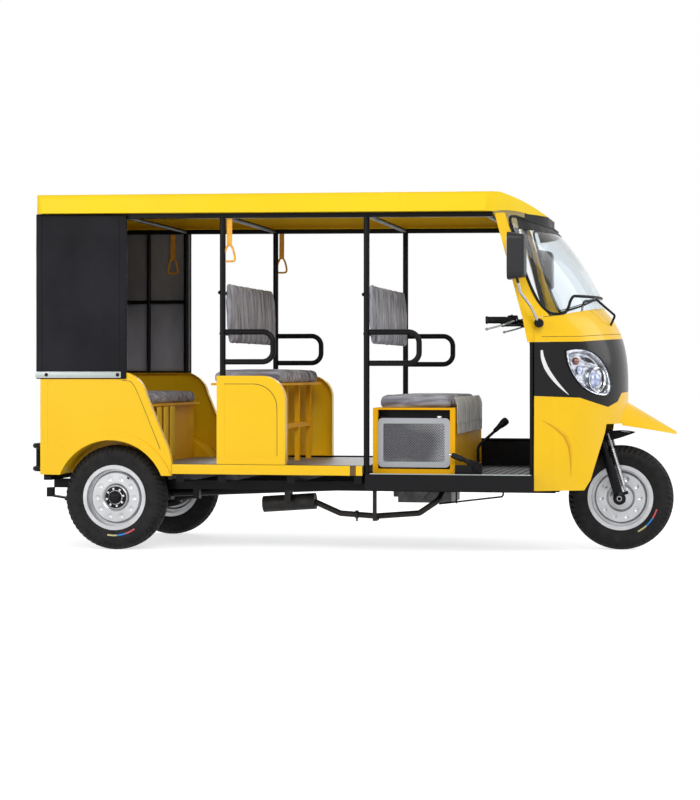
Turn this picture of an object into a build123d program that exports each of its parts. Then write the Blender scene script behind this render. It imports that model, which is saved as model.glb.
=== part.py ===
"""A three-row passenger auto rickshaw: one steered front wheel, two driven rear wheels.

Millimetres. +X is forward, +Y is the vehicle's left, +Z is up.
The origin is on the ground, in the middle of the vehicle's length and width.
"""
import math
import os

from build123d import *

os.makedirs("parts", exist_ok=True)

# ---------------------------------------------------------------- driving dimensions
seat_gap = 0.3             # clearance between two pieces that seat on each other
rear_end_x = -1661.0       # back of the rear bumper loop
nose_tip_x = 1661.0        # tip of the front mudguard

# wheels: 4.50-12 tyres on pressed rims
tyre_diameter = 540.0
tyre_width = 122.0
bead_radius = 152.4
rim_flange_radius = 168.0
rim_width = 100.0
wheel_radius = tyre_diameter / 2
rear_axle_x = -1186.0
front_axle_x = 1376.0
rear_wheel_y = 505.0       # centre plane of each rear wheel
stub_radius = 14.0         # rear stub axle in the hub
front_spindle_radius = 9.0
running_gap = 0.3          # radial clearance of hub and stem bearings

# steering
rake = 17.0                # steering axis, degrees back from vertical
fork_offset = 40.0         # axle ahead of the steering axis
fork_leg_y = 100.0
stem_radius = 20.0

# body sides
side_y = 600.0             # outer face of the body panels
sheet = 3.0                # panel sheet, with its paint
post_y = 575.0             # centre of the roof posts
post_radius = 15.0
post_a_x = -1126.0
post_b_x = -601.0
post_c_x = 145.0
body_rear_x = -1571.0
body_top_z = 914.0
body_low_z = 388.0
sill_top_z = 449.0
sill_low_z = 397.0
sill_rear_x = -861.0
sill_depth = 50.0
sill_proud = 7.0

# chassis and floor
rail_y = 400.0
rail_width = 40.0
rail_low_z = 311.0
rail_top_z = 357.0
rail_front_x = 1075.0
cross_height = 39.7
deck_top_z = 440.0
deck_plate = 5.0
cab_floor_z = 403.0
firewall_x = 1036.0
engine_hole_rear_x = 203.0
engine_hole_front_x = 538.0
engine_hole_half = 240.0
cab_front_x = 984.0
cab_front_half = 525.0

# roof
roof_rear_x = -1592.0
roof_base_z = 1736.0       # underside of the roof's edge at the rear
roof_slope = 0.55          # degrees, down to the front
roof_half_width = 640.0
roof_crown = 114.0         # crown above the underside
roof_shoulder = 76.0       # top of the side skirt
roof_length = 2632.0
roof_shell = 4.0
roof_tube = 25.0
roof_joint_x = 325.0        # seam between the passenger roof and the cab cap

# ---------------------------------------------------------------- shared helpers


def block(x_span, y_span, z_span, mode=Mode.ADD):
    """A box between two limits on each axis, in the active part."""
    centre = tuple((low + high) / 2 for low, high in (x_span, y_span, z_span))
    size = tuple(high - low for low, high in (x_span, y_span, z_span))
    with Locations(centre):
        Box(*size, mode=mode)


def round_bar(points, radius, bend=0.0):
    """A round bar along straight runs joined by round bends, in the active part."""
    with BuildLine(mode=Mode.PRIVATE) as route:
        if len(points) > 2:
            FilletPolyline(*points, radius=bend)
        else:
            Line(*points)
    with BuildSketch(Plane(origin=route.line @ 0, z_dir=route.line % 0)) as section:
        Circle(radius)
    sweep(sections=section.sketch, path=route.line)


def side_plane(y):
    """A plane across the vehicle at this y: local x is forward and local y is up."""
    return Plane(origin=(0, y, 0), x_dir=(1, 0, 0), z_dir=(0, -1, 0))


def cross_plane(x):
    """A plane along the vehicle at this x: local x is left and local y is up."""
    return Plane(origin=(x, 0, 0), x_dir=(0, 1, 0), z_dir=(1, 0, 0))


def save(part, name):
    """Label a finished piece and write its file."""
    part.label = name
    export_step(part, f"parts/{name}.step")


# ---------------------------------------------------------------- steering frame
steer_up = (-math.sin(math.radians(rake)), 0, math.cos(math.radians(rake)))
steer_ahead = (math.cos(math.radians(rake)), 0, math.sin(math.radians(rake)))
steer_foot = (
    front_axle_x - fork_offset * steer_ahead[0],
    0,
    wheel_radius - fork_offset * steer_ahead[2],
)


def on_fork(ahead, left, up):
    """A point given along the steering axis frame."""
    return (
        steer_foot[0] + ahead * steer_ahead[0] + up * steer_up[0],
        left,
        steer_foot[2] + ahead * steer_ahead[2] + up * steer_up[2],
    )


def fork_plane(up, ahead=0.0, left=0.0):
    """A plane square to the steering axis: local x is ahead, local y is left."""
    return Plane(origin=on_fork(ahead, left, up), x_dir=steer_ahead, z_dir=steer_up)


# ---------------------------------------------------------------- wheels
hub_radius = 62.0
drum_radius = 112.0
dimple_circle = 99.0
dimple_count = 10
dimple_ball = 30.0         # radius of the round-nosed punch
dimple_depth = 3.2
disc_face = 24.0           # outer face of the disc, outboard of the wheel's centre plane

# name, axle x, centre y, side that faces out (+1 left, -1 right), bore, drum depth inboard
wheels = [
    ("rear_right", rear_axle_x, -rear_wheel_y, -1, stub_radius, 58.0),
    ("rear_left", rear_axle_x, rear_wheel_y, 1, stub_radius, 58.0),
    ("front", front_axle_x, 0.0, -1, front_spindle_radius, 40.0),
]

for wheel_name, wheel_x, wheel_y, out, bore_radius, drum_depth in wheels:
    # local x runs outboard, local y is the radius
    wheel_section = Plane(origin=(wheel_x, wheel_y, wheel_radius), x_dir=(0, out, 0), z_dir=(out, 0, 0))
    wheel_axis = Axis((wheel_x, wheel_y, wheel_radius), (0, 1, 0))
    half = tyre_width / 2
    seat_half = rim_width / 2 - 4.0

    with BuildPart() as tyre:
        with BuildSketch(wheel_section):
            with BuildLine():
                Line((-seat_half, bead_radius + seat_gap), (seat_half, bead_radius + seat_gap))
                Line((seat_half, bead_radius + seat_gap), (seat_half, rim_flange_radius + 3))
                ThreePointArc((seat_half, rim_flange_radius + 3), (half, 214), (half - 14, wheel_radius - 13))
                ThreePointArc(
                    (half - 14, wheel_radius - 13), (0, wheel_radius), (14 - half, wheel_radius - 13)
                )
                ThreePointArc((14 - half, wheel_radius - 13), (-half, 214), (-seat_half, rim_flange_radius + 3))
                Line((-seat_half, rim_flange_radius + 3), (-seat_half, bead_radius + seat_gap))
            make_face()
        revolve(axis=wheel_axis)
    save(tyre.part, f"tyre_{wheel_name}")

    with BuildPart() as rim:
        # barrel with its two flanges
        with BuildSketch(wheel_section):
            with BuildLine():
                Polyline(
                    (-rim_width / 2, rim_flange_radius),
                    (-seat_half - seat_gap, rim_flange_radius),
                    (-seat_half - seat_gap, bead_radius),
                    (seat_half + seat_gap, bead_radius),
                    (seat_half + seat_gap, rim_flange_radius),
                    (rim_width / 2, rim_flange_radius),
                    (rim_width / 2, bead_radius - 4),
                    (-rim_width / 2, bead_radius - 4),
                    close=True,
                )
            make_face()
        revolve(axis=wheel_axis)
        # dished disc from the barrel to the hub
        with BuildSketch(wheel_section):
            with BuildLine():
                Polyline(
                    (6, bead_radius - 2),
                    (6, 136),
                    (disc_face - 5, 131),
                    (disc_face, 126),
                    (disc_face, 74),
                    (16, hub_radius),
                    (16, hub_radius - 8),
                    (8, hub_radius - 8),
                    (8, hub_radius + 2),
                    (disc_face - 6, 76),
                    (disc_face - 6, 122),
                    (12, 128),
                    (0, 132),
                    (0, bead_radius - 2),
                    close=True,
                )
            make_face()
        revolve(axis=wheel_axis)
        # hub with the drum behind the disc
        with BuildSketch(wheel_section):
            with BuildLine():
                Polyline(
                    (34, bore_radius + running_gap),
                    (34, 26),
                    (22, hub_radius - 14),
                    (14, hub_radius),
                    (2, hub_radius),
                    (-4, drum_radius),
                    (-drum_depth, drum_radius),
                    (-drum_depth, bore_radius + running_gap),
                    close=True,
                )
            make_face()
        revolve(axis=wheel_axis)
        # ring of dimples pressed into the disc
        punch_y = wheel_y + out * (disc_face + dimple_ball - dimple_depth)
        with Locations(Plane(origin=(wheel_x, punch_y, wheel_radius), x_dir=(1, 0, 0), z_dir=(0, out, 0))):
            with PolarLocations(dimple_circle, dimple_count):
                Sphere(dimple_ball, mode=Mode.SUBTRACT)
    save(rim.part, f"rim_{wheel_name}")

# ---------------------------------------------------------------- front fork
crown_up = 395.0
stem_top_up = 880.0
leg_low_up = -26.0
leg_radius = 24.0
stanchion_radius = 17.0
slider_top_up = 215.0

# spring struts, ahead of the legs
strut_ahead = 39.0
strut_low_up = 26.0
strut_top_up = 336.0
collar = 16.0
rod_radius = 7.0
spring_radius = 12.0
spring_wire = 3.5
spring_low_up = 60.0
spring_turns = 18
spring_pitch = 11.0

with BuildPart() as fork:
    for left in (-fork_leg_y, fork_leg_y):
        with BuildSketch(fork_plane(leg_low_up, fork_offset, left)):
            Circle(leg_radius)
        extrude(amount=slider_top_up - leg_low_up)
        with BuildSketch(fork_plane(slider_top_up, fork_offset, left)):
            Circle(stanchion_radius)
        extrude(amount=crown_up - slider_top_up + 20)
        # collars that hold the spring strut ahead of each leg
        for collar_up in (strut_low_up - collar, strut_top_up):
            with BuildSketch(fork_plane(collar_up, fork_offset, left)):
                Circle(leg_radius + 3)
                with Locations((strut_ahead, 0)):
                    Circle(spring_radius)
                with Locations((strut_ahead / 2, 0)):
                    Rectangle(strut_ahead, 2 * spring_radius)
            extrude(amount=collar)
    # crown between the two stanchions, with the stem
    with BuildSketch(fork_plane(crown_up)):
        with Locations((fork_offset / 2, 0)):
            RectangleRounded(fork_offset + 60, 2 * fork_leg_y + 56, 24)
    extrude(amount=24)
    with BuildSketch(fork_plane(crown_up)):
        Circle(stem_radius)
    extrude(amount=stem_top_up - crown_up)
    # spindle through the hub
    with BuildSketch(side_plane(-fork_leg_y - leg_radius - 10)):
        with Locations((front_axle_x, wheel_radius)):
            Circle(front_spindle_radius)
    extrude(amount=-2 * (fork_leg_y + leg_radius + 10))
save(fork.part, "fork")

with BuildPart() as fork_struts:
    for left in (-fork_leg_y, fork_leg_y):
        with BuildSketch(fork_plane(strut_low_up + seat_gap, fork_offset + strut_ahead, left)):
            Circle(rod_radius)
        extrude(amount=strut_top_up - strut_low_up - 2 * seat_gap)
        # coils of the spring round the rod
        for turn in range(spring_turns):
            coil_up = spring_low_up + spring_pitch * turn
            with BuildSketch(fork_plane(coil_up, fork_offset + strut_ahead, left)):
                Circle(spring_radius)
            extrude(amount=2 * spring_wire, taper=12)
save(fork_struts.part, "fork_struts")

guard_radius = 342.0
guard_half = 42.0
guard_plate = 4.0
guard_rear_deg = 104.0
guard_front_deg = 78.0


def guard_point(radius, degrees):
    """A point round the front axle, in the side view."""
    angle = math.radians(degrees)
    return (front_axle_x + radius * math.cos(angle), wheel_radius + radius * math.sin(angle))


web_low_up = 346.0
with BuildPart() as fork_guard:
    # short curved guard over the tyre, on a web under the crown
    guard_mid_deg = (guard_rear_deg + guard_front_deg) / 2
    outer = guard_radius + guard_plate
    with BuildSketch(side_plane(-guard_half)):
        with BuildLine():
            ThreePointArc(
                guard_point(guard_radius, guard_rear_deg),
                guard_point(guard_radius, guard_mid_deg),
                guard_point(guard_radius, guard_front_deg),
            )
            Line(guard_point(guard_radius, guard_front_deg), guard_point(outer, guard_front_deg))
            ThreePointArc(
                guard_point(outer, guard_front_deg),
                guard_point(outer, guard_mid_deg),
                guard_point(outer, guard_rear_deg),
            )
            Line(guard_point(outer, guard_rear_deg), guard_point(guard_radius, guard_rear_deg))
        make_face()
    extrude(amount=-2 * guard_half)
    for left in (-guard_half + 8, guard_half - 8):
        with BuildSketch(fork_plane(web_low_up, 46, left)):
            Rectangle(34, 6)
        extrude(amount=crown_up - web_low_up - seat_gap)
save(fork_guard.part, "fork_guard")

head_low_up = 440.0
head_top_up = 690.0
grip_y = 330.0
grip_radius = 16.0
bar_radius = 11.0

with BuildPart() as handlebar:
    with BuildSketch(fork_plane(stem_top_up + seat_gap)):
        Circle(30)
    extrude(amount=34)
    for side in (-1, 1):
        grip_end = (719, side * grip_y, 1182)
        grip_start = (840, side * (grip_y - 28), 1182)
        clamp = on_fork(0, 0, stem_top_up + 18)
        round_bar(
            [clamp, on_fork(-20, side * 170, stem_top_up + 60), grip_start, grip_end],
            bar_radius,
            45,
        )
        round_bar([grip_start, grip_end], grip_radius)
save(handlebar.part, "handlebar")

# ---------------------------------------------------------------- chassis
neck_y = 60.0
neck_radius = 20.0
neck_x = 1068.0
cross_width = 40.0
cross_tops = rail_top_z + cross_height

# x of the middle of each cross member, and its half length across the vehicle
cross_members = [
    (-1548, 556.0),
    (-1416, 420.0),
    (-956, 420.0),
    (-820, side_y),
    (-601, side_y),
    (-240, side_y),
    (105, side_y),
    (181, side_y),
    (560, side_y),
    (940, side_y),
]

with BuildPart() as chassis_frame:
    for side in (-1, 1):
        y_in = side * (rail_y - rail_width / 2)
        y_out = side * (rail_y + rail_width / 2)
        block((body_rear_x + 10, rail_front_x), sorted((y_in, y_out)), (rail_low_z, rail_top_z))
    for cross_x, cross_half in cross_members:
        block(
            (cross_x - cross_width / 2, cross_x + cross_width / 2),
            (-cross_half, cross_half),
            (rail_top_z + seat_gap, cross_tops - seat_gap),
        )
save(chassis_frame.part, "chassis_frame")

with BuildPart() as steering_head:
    # lower cross tube between the rails
    block(
        (neck_x - 22, neck_x + 22),
        (-(rail_y - rail_width / 2) + seat_gap, rail_y - rail_width / 2 - seat_gap),
        (rail_low_z + 3, rail_top_z - 3),
    )
    for side in (-1, 1):
        round_bar(
            [
                (neck_x, side * neck_y, rail_low_z + 20),
                (neck_x, side * neck_y, 560),
                on_fork(-18, side * 22, head_low_up + 70),
            ],
            neck_radius,
            90,
        )
        round_bar(
            [
                (neck_x - 6, side * neck_y * 0.7, 520),
                (neck_x - 12, side * neck_y * 0.7, 800),
                on_fork(-10, side * 20, head_top_up - 40),
            ],
            neck_radius * 0.7,
            60,
        )
    with BuildSketch(fork_plane(head_low_up)):
        Circle(32)
    extrude(amount=head_top_up - head_low_up)
    with BuildSketch(fork_plane(head_low_up - 60)):
        Circle(stem_radius + running_gap)
    extrude(amount=head_top_up - head_low_up + 120, mode=Mode.SUBTRACT)
save(steering_head.part, "steering_head")

deck_half = side_y + sill_proud - sill_depth - seat_gap

mat_thick = 1.5
# rear edge, front edge, half width
aisle_mats = [(-985.0, -705.0, 418.0), (-255.0, post_c_x - post_radius - 10, 560.0)]
with BuildPart() as floor_deck:
    # passenger deck on its ribs; it narrows between the wheelhouses
    deck_front_x = post_c_x - post_radius - 4
    block((sill_rear_x + 8, deck_front_x), (-deck_half, deck_half), (deck_top_z - deck_plate, deck_top_z))
    block((body_rear_x + 26, sill_rear_x + 8), (-424, 424), (deck_top_z - deck_plate, deck_top_z))
    for rib_y in (-408, -240, -80, 80, 240, 408):
        block((body_rear_x + 26, deck_front_x), (rib_y - 12, rib_y + 12), (cross_tops, deck_top_z))

    # cab floor, lower than the deck
    block(
        (post_c_x + post_radius + seat_gap, cab_front_x - seat_gap),
        (-side_y + seat_gap, side_y - seat_gap),
        (cross_tops, cab_floor_z),
    )
    block(
        (cab_front_x - 1, firewall_x - seat_gap),
        (-cab_front_half, cab_front_half),
        (cross_tops, cab_floor_z),
    )
    # the engine comes up through the floor under the driver's seat
    block(
        (engine_hole_rear_x, engine_hole_front_x),
        (-engine_hole_half, engine_hole_half),
        (cross_tops - 1, cab_floor_z + 1),
        mode=Mode.SUBTRACT,
    )
    # rubber mats in the two aisles
    for mat_rear_x, mat_front_x, mat_half in aisle_mats:
        block((mat_rear_x, mat_front_x), (-mat_half, mat_half), (deck_top_z, deck_top_z + mat_thick))
    # foot-grip ribs
    for rib in range(9):
        rib_x = 640 + 40 * rib
        block((rib_x, rib_x + 12), (-500, 500), (cab_floor_z, cab_floor_z + 3))
save(floor_deck.part, "floor_deck")

sill_front_x = post_c_x - post_radius - seat_gap

with BuildPart() as side_sills:
    # open channels, their backs outward
    with BuildSketch(cross_plane(sill_rear_x)):
        with Locations((side_y + sill_proud - sill_depth / 2, (sill_low_z + sill_top_z) / 2)):
            RectangleRounded(sill_depth, sill_top_z - sill_low_z, 6)
        with Locations((side_y + sill_proud - sill_depth / 2 - 4, (sill_low_z + sill_top_z) / 2)):
            Rectangle(sill_depth, sill_top_z - sill_low_z - 8, mode=Mode.SUBTRACT)
    extrude(amount=sill_front_x - sill_rear_x)
    mirror(about=Plane.XZ)
save(side_sills.part, "side_sills")

skirt_front_x = 989.0
with BuildPart() as cab_skirts:
    with BuildSketch(side_plane(-side_y - seat_gap)):
        with BuildLine():
            Polyline(
                (post_c_x - 1, 406),
                (skirt_front_x, 406),
                (skirt_front_x, 326),
                (post_c_x - 1, 326),
                close=True,
            )
        make_face()
    extrude(amount=sheet)
    mirror(about=Plane.XZ)
save(cab_skirts.part, "cab_skirts")

# ---------------------------------------------------------------- body sides
arch_x = rear_axle_x - 4
arch_z = 272.0
arch_radius = 296.0
wheelhouse_y = 430.0
liner = 2.5
groove_inset = 40.0
groove_width = 3.0
groove_depth = 1.2
flange = 32.0
flare_width = 46.0
flare_proud = 8.0


def quarter_face(inset):
    """Side face of a rear quarter: rear edge, top, swept front edge and sill line."""
    with BuildLine() as outline:
        Line((body_rear_x + inset, body_low_z + inset), (body_rear_x + inset, body_top_z - inset))
        Line((body_rear_x + inset, body_top_z - inset), (-1100, body_top_z - inset))
        ThreePointArc((-1100, body_top_z - inset), (-1036 - inset / 2, 874 - inset), (-999 - inset, 801))
        Line((-999 - inset, 801), (-902 - inset, 569))
        ThreePointArc((-902 - inset, 569), (-874 - inset, 500), (sill_rear_x - 4 - inset, body_low_z + inset))
        Line((sill_rear_x - 4 - inset, body_low_z + inset), (body_rear_x + inset, body_low_z + inset))
    make_face(outline.edges())


for side, side_name in ((-1, "right"), (1, "left")):
    with BuildPart() as rear_quarter:
        # pressed panel: outer skin with an inward flange all round
        with BuildSketch(side_plane(side * side_y)):
            quarter_face(0)
        extrude(amount=side * flange)
        with BuildSketch(side_plane(side * (side_y - sheet))):
            quarter_face(sheet)
        extrude(amount=side * flange, mode=Mode.SUBTRACT)
        # pressed groove that follows the swept front edge
        with BuildSketch(side_plane(side * side_y)):
            quarter_face(groove_inset)
            with BuildSketch(mode=Mode.PRIVATE) as groove_core:
                quarter_face(groove_inset + groove_width)
            add(groove_core.sketch, mode=Mode.SUBTRACT)
            with Locations((arch_x - 60, arch_z + 200)):
                Rectangle(500, 1200, mode=Mode.SUBTRACT)
            with Locations((arch_x, body_low_z)):
                Rectangle(1400, 260, mode=Mode.SUBTRACT)
        extrude(amount=side * groove_depth, mode=Mode.SUBTRACT)
        # flare round the arch, then the arch itself
        with BuildSketch(side_plane(side * (side_y + flare_proud))):
            with Locations((arch_x, arch_z)):
                Circle(arch_radius + flare_width)
            with Locations((arch_x, body_low_z - 300)):
                Rectangle(1000, 600, mode=Mode.SUBTRACT)
        extrude(amount=side * (flare_proud + sheet))
        with BuildSketch(side_plane(side * (side_y + flare_proud))):
            with Locations((arch_x, arch_z)):
                Circle(arch_radius)
        extrude(amount=side * (flare_proud + flange + 1), mode=Mode.SUBTRACT)
        # wheelhouse: arched liner and its inner wall
        with BuildSketch(side_plane(side * (side_y - sheet))):
            with Locations((arch_x, arch_z)):
                Circle(arch_radius + liner)
                Circle(arch_radius, mode=Mode.SUBTRACT)
            with Locations((arch_x, body_low_z + sheet - 300)):
                Rectangle(1000, 600, mode=Mode.SUBTRACT)
        extrude(amount=side * (side_y - sheet - wheelhouse_y))
        with BuildSketch(side_plane(side * wheelhouse_y)):
            with Locations((arch_x, arch_z)):
                Circle(arch_radius + liner)
            with Locations((arch_x, body_low_z + sheet - 300)):
                Rectangle(1000, 600, mode=Mode.SUBTRACT)
        extrude(amount=side * liner)
    save(rear_quarter.part, f"rear_quarter_{side_name}")

with BuildPart() as rear_panel:
    block(
        (body_rear_x, body_rear_x + sheet),
        (-side_y + flange + seat_gap, side_y - flange - seat_gap),
        (body_low_z, body_top_z),
    )
    for z in (body_low_z + 20, body_top_z - 20):
        block(
            (body_rear_x + sheet - 1, body_rear_x + 22),
            (-side_y + flange + 12, side_y - flange - 12),
            (z - 2, z + 2),
        )
save(rear_panel.part, "rear_panel")

mid_rear_x = -627.0
mid_front_x = -270.0
mid_top_z = 899.0
mid_corner_radius = 122.0


def mid_face(inset):
    """Side face of a middle panel, its top front corner rounded."""
    with BuildLine() as outline:
        Polyline(
            (mid_front_x - inset, mid_top_z - mid_corner_radius - inset),
            (mid_front_x - inset, sill_top_z + seat_gap + inset),
            (mid_rear_x + inset, sill_top_z + seat_gap + inset),
            (mid_rear_x + inset, mid_top_z - inset),
            (mid_front_x - mid_corner_radius - inset, mid_top_z - inset),
        )
        RadiusArc(
            (mid_front_x - mid_corner_radius - inset, mid_top_z - inset),
            (mid_front_x - inset, mid_top_z - mid_corner_radius - inset),
            mid_corner_radius,
        )
    make_face(outline.edges())


with BuildPart() as mid_panels:
    with BuildSketch(side_plane(-side_y)):
        mid_face(0)
    extrude(amount=-44)
    with BuildSketch(side_plane(-side_y + sheet)):
        mid_face(sheet)
    extrude(amount=-44, mode=Mode.SUBTRACT)
    # pressed groove inside the edge
    with BuildSketch(side_plane(-side_y)):
        mid_face(groove_inset)
        with BuildSketch(mode=Mode.PRIVATE) as mid_groove_core:
            mid_face(groove_inset + groove_width)
        add(mid_groove_core.sketch, mode=Mode.SUBTRACT)
    extrude(amount=-groove_depth, mode=Mode.SUBTRACT)
    # hole for the roof post
    with BuildSketch(Plane.XY.offset(sill_top_z - 10)):
        with Locations((post_b_x, -post_y)):
            Circle(post_radius + seat_gap)
    extrude(amount=mid_top_z - sill_top_z + 20, mode=Mode.SUBTRACT)
    mirror(about=Plane.XZ)
save(mid_panels.part, "mid_panels")

# ---------------------------------------------------------------- roof
slope = math.radians(roof_slope)
roof_ahead = (math.cos(slope), 0, -math.sin(slope))
roof_up = (math.sin(slope), 0, math.cos(slope))
roof_origin = (roof_rear_x, 0, roof_base_z)
roof_plan = Plane(origin=roof_origin, x_dir=roof_ahead, z_dir=roof_up)
roof_section = Plane(origin=roof_origin, x_dir=(0, 1, 0), z_dir=roof_ahead)
roof_side = Plane(origin=roof_origin, x_dir=roof_ahead, z_dir=(0, -1, 0))
rail_front = 2374.0


def roof_underside(x):
    """Height of the roof edge's underside at this x."""
    return roof_base_z - (x - roof_rear_x) * math.tan(slope)


def post_top(x):
    """Height at which a roof post meets the side rail."""
    return roof_underside(x) - roof_tube - 3 * seat_gap


def roof_solid(inset, lip):
    """The roof's outer form, drawn in by inset, down to lip above its underside."""
    width = roof_half_width - inset
    top = roof_crown - inset
    shoulder = roof_shoulder - inset
    with BuildSketch(roof_section) as section:
        with BuildLine() as outline:
            Polyline((-width + 8, shoulder), (-width, lip), (width, lip), (width - 8, shoulder))
            ThreePointArc((width - 8, shoulder), (width - 16, shoulder + 14), (width - 40, shoulder + 22))
            ThreePointArc((width - 40, shoulder + 22), (0, top), (40 - width, shoulder + 22))
            ThreePointArc((40 - width, shoulder + 22), (16 - width, shoulder + 14), (8 - width, shoulder))
        make_face(outline.edges())
    extrude(section.sketch, amount=roof_length + 40)
    # side view: level back, then the curve down over the windscreen
    with BuildSketch(roof_side) as side_view:
        with BuildLine() as outline:
            Polyline(
                (inset, lip), (inset, shoulder - 4), (22 + inset, roof_crown + 30), (2270, roof_crown + 30)
            )
            Line((2270, roof_crown + 30), (2290 - inset, roof_crown + 2 - inset))
            ThreePointArc(
                (2290 - inset, roof_crown + 2 - inset),
                (2480 - inset, 74 - inset),
                (roof_length - inset, -18 - inset),
            )
            Polyline((roof_length - inset, -18 - inset), (roof_length - 10 - inset, -40 + lip / 3))
            ThreePointArc((roof_length - 10 - inset, -40 + lip / 3), (2500, 6 + lip / 2), (2380, lip))
            Line((2380, lip), (inset, lip))
        make_face(outline.edges())
    extrude(side_view.sketch, amount=roof_half_width + 40, both=True, mode=Mode.INTERSECT)
    # plan view: rounded back corners and a bowed front
    with BuildSketch(roof_plan.offset(-120)) as plan_view:
        with BuildLine() as outline:
            Line((inset, 60 - width), (inset, width - 60))
            RadiusArc((inset, width - 60), (60 + inset, width), 60)
            Line((60 + inset, width), (2340, width))
            ThreePointArc((2340, width), (roof_length - inset, 0), (2340, -width))
            Line((2340, -width), (60 + inset, -width))
            RadiusArc((60 + inset, -width), (inset, 60 - width), 60)
        make_face(outline.edges())
    extrude(plan_view.sketch, amount=400, mode=Mode.INTERSECT)


with BuildPart() as roof_form:
    roof_solid(0, 0)
with BuildPart() as roof_core:
    roof_solid(roof_shell, roof_shell)
with BuildPart() as roof_mouth:
    # the opening inside the edge's return flange
    with BuildSketch(roof_plan.offset(-80)):
        with Locations((2360 / 2 + 40, 0)):
            RectangleRounded(2360 - 80, 2 * (post_y - 18), 30)
    extrude(amount=80 + 2 * roof_shell)
with BuildPart() as roof_skin:
    add(roof_form.part)
    add(roof_core.part, mode=Mode.SUBTRACT)
    add(roof_mouth.part, mode=Mode.SUBTRACT)
# the skin is moulded in two lengths: the passenger roof and the cab cap with its visor
with BuildPart() as roof_panel:
    add(roof_skin.part)
    split(bisect_by=Plane(origin=(roof_joint_x, 0, 0), z_dir=(1, 0, 0)), keep=Keep.BOTTOM)
save(roof_panel.part, "roof_panel")
with BuildPart() as roof_cap:
    add(roof_skin.part)
    split(bisect_by=Plane(origin=(roof_joint_x + seat_gap, 0, 0), z_dir=(1, 0, 0)), keep=Keep.TOP)
save(roof_cap.part, "roof_cap")

posts = [
    (post_a_x, body_top_z + seat_gap),
    (post_b_x, sill_top_z + seat_gap),
    (post_c_x, 333.0),
]
grid_tube = 22.0
grid_rear_x = -1558.0
grid_front_x = post_a_x - post_radius - seat_gap
grid_mid_z = 1320.0
rail_rear = 30.0
bar_places = [45.0, 466.0, 991.0, 1737.0, 2345.0]
with BuildPart() as canopy_frame:
    # side rails under the roof's return flange, then the bars between them
    rail_middle = roof_plan.offset(-roof_tube / 2 - seat_gap)
    rail_end = rail_middle.from_local_coords((rail_rear, 0, 0))
    with BuildSketch(Plane(origin=rail_end, x_dir=(0, 1, 0), z_dir=roof_ahead)):
        with Locations((-post_y, 0), (post_y, 0)):
            RectangleRounded(roof_tube, roof_tube, 3)
    extrude(amount=rail_front - rail_rear)
    bar_half = post_y - roof_tube / 2 - seat_gap
    for bar_place in bar_places:
        bar_end = rail_middle.from_local_coords((bar_place, -bar_half, 0))
        with BuildSketch(Plane(origin=bar_end, x_dir=roof_ahead, z_dir=(0, 1, 0))):
            Circle(roof_tube / 2 - 1)
        extrude(amount=2 * bar_half)
    for post_x, foot_z in posts:
        with BuildSketch(Plane.XY.offset(foot_z)):
            with Locations((post_x, -post_y), (post_x, post_y)):
                Circle(post_radius)
        extrude(amount=post_top(post_x) - foot_z)

    for side in (-1, 1):
        # corner post and middle post, then the bars between them
        for grid_x in (grid_rear_x, (grid_rear_x + grid_front_x) / 2):
            with BuildSketch(Plane.XY.offset(body_top_z + seat_gap)):
                with Locations((grid_x, side * post_y)):
                    Circle(grid_tube / 2)
            extrude(amount=post_top(grid_x) - body_top_z - seat_gap)
        middle_x = (grid_rear_x + grid_front_x) / 2
        for low_x, high_x in ((grid_rear_x, middle_x), (middle_x, grid_front_x + grid_tube / 2)):
            with BuildSketch(cross_plane(low_x + grid_tube / 2 + seat_gap)):
                with Locations((side * post_y, grid_mid_z)):
                    Circle(grid_tube / 2 - 1)
            extrude(amount=high_x - low_x - grid_tube - 2 * seat_gap)
save(canopy_frame.part, "canopy_frame")

# ---------------------------------------------------------------- curtains
curtain = 4.0
curtain_low_z = 890.0
curtain_front_x = -1104.0
curtain_rear_x = -1599.0
curtain_y = side_y + 2 * seat_gap
with BuildPart() as side_curtains:
    for side in (-1, 1):
        with BuildSketch(side_plane(side * (curtain_y + curtain))):
            with BuildLine():
                Polyline(
                    (curtain_rear_x + 8, curtain_low_z),
                    (curtain_front_x, curtain_low_z - 8),
                    (curtain_front_x, roof_underside(curtain_front_x) - seat_gap),
                    (curtain_rear_x + 8, roof_underside(curtain_rear_x) - 1 - seat_gap),
                    close=True,
                )
            make_face()
        extrude(amount=side * curtain)
save(side_curtains.part, "side_curtains")

with BuildPart() as rear_curtain:
    hang_x = body_rear_x - 2 * seat_gap
    block(
        (hang_x - curtain, hang_x),
        (2 - side_y, side_y - 2),
        (curtain_low_z, roof_underside(body_rear_x) - 2),
    )
save(rear_curtain.part, "rear_curtain")

# ---------------------------------------------------------------- seats
# name, x of front and back of the cushion, underside and top, half width
cushion_sizes = {
    "rear": (-1006.0, -1440.0, 752.0, 812.0, 424.0),
    "middle": (-316.0, -690.0, 862.0, 928.0, 480.0),
    "driver": (566.0, 178.0, 738.0, 800.0, 490.0),
}
# name, x of the front face at foot and head, foot and head z, half width, thickness
backrest_sizes = {
    "rear": (-1440.5, -1490.0, 752.0, 1290.0, 424.0, 60.0),
    "middle": (-572.0, -584.0, 1055.0, 1384.0, 500.0, 30.0),
    "driver": (176.0, 164.0, 1050.0, 1368.0, 500.0, 30.0),
}
seat_board = 12.0
leg_tube = 25.0

for seat_name, (front_x, back_x, low_z, top_z, half_width) in cushion_sizes.items():
    with BuildPart() as cushion:
        with BuildSketch(Plane.XY.offset(low_z)):
            with Locations(((front_x + back_x) / 2, 0)):
                RectangleRounded(front_x - back_x, 2 * half_width, 40)
        extrude(amount=top_z - low_z)
        fillet(cushion.faces().sort_by(Axis.Z)[-1].edges(), radius=20)
    save(cushion.part, f"{seat_name}_cushion")

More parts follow.
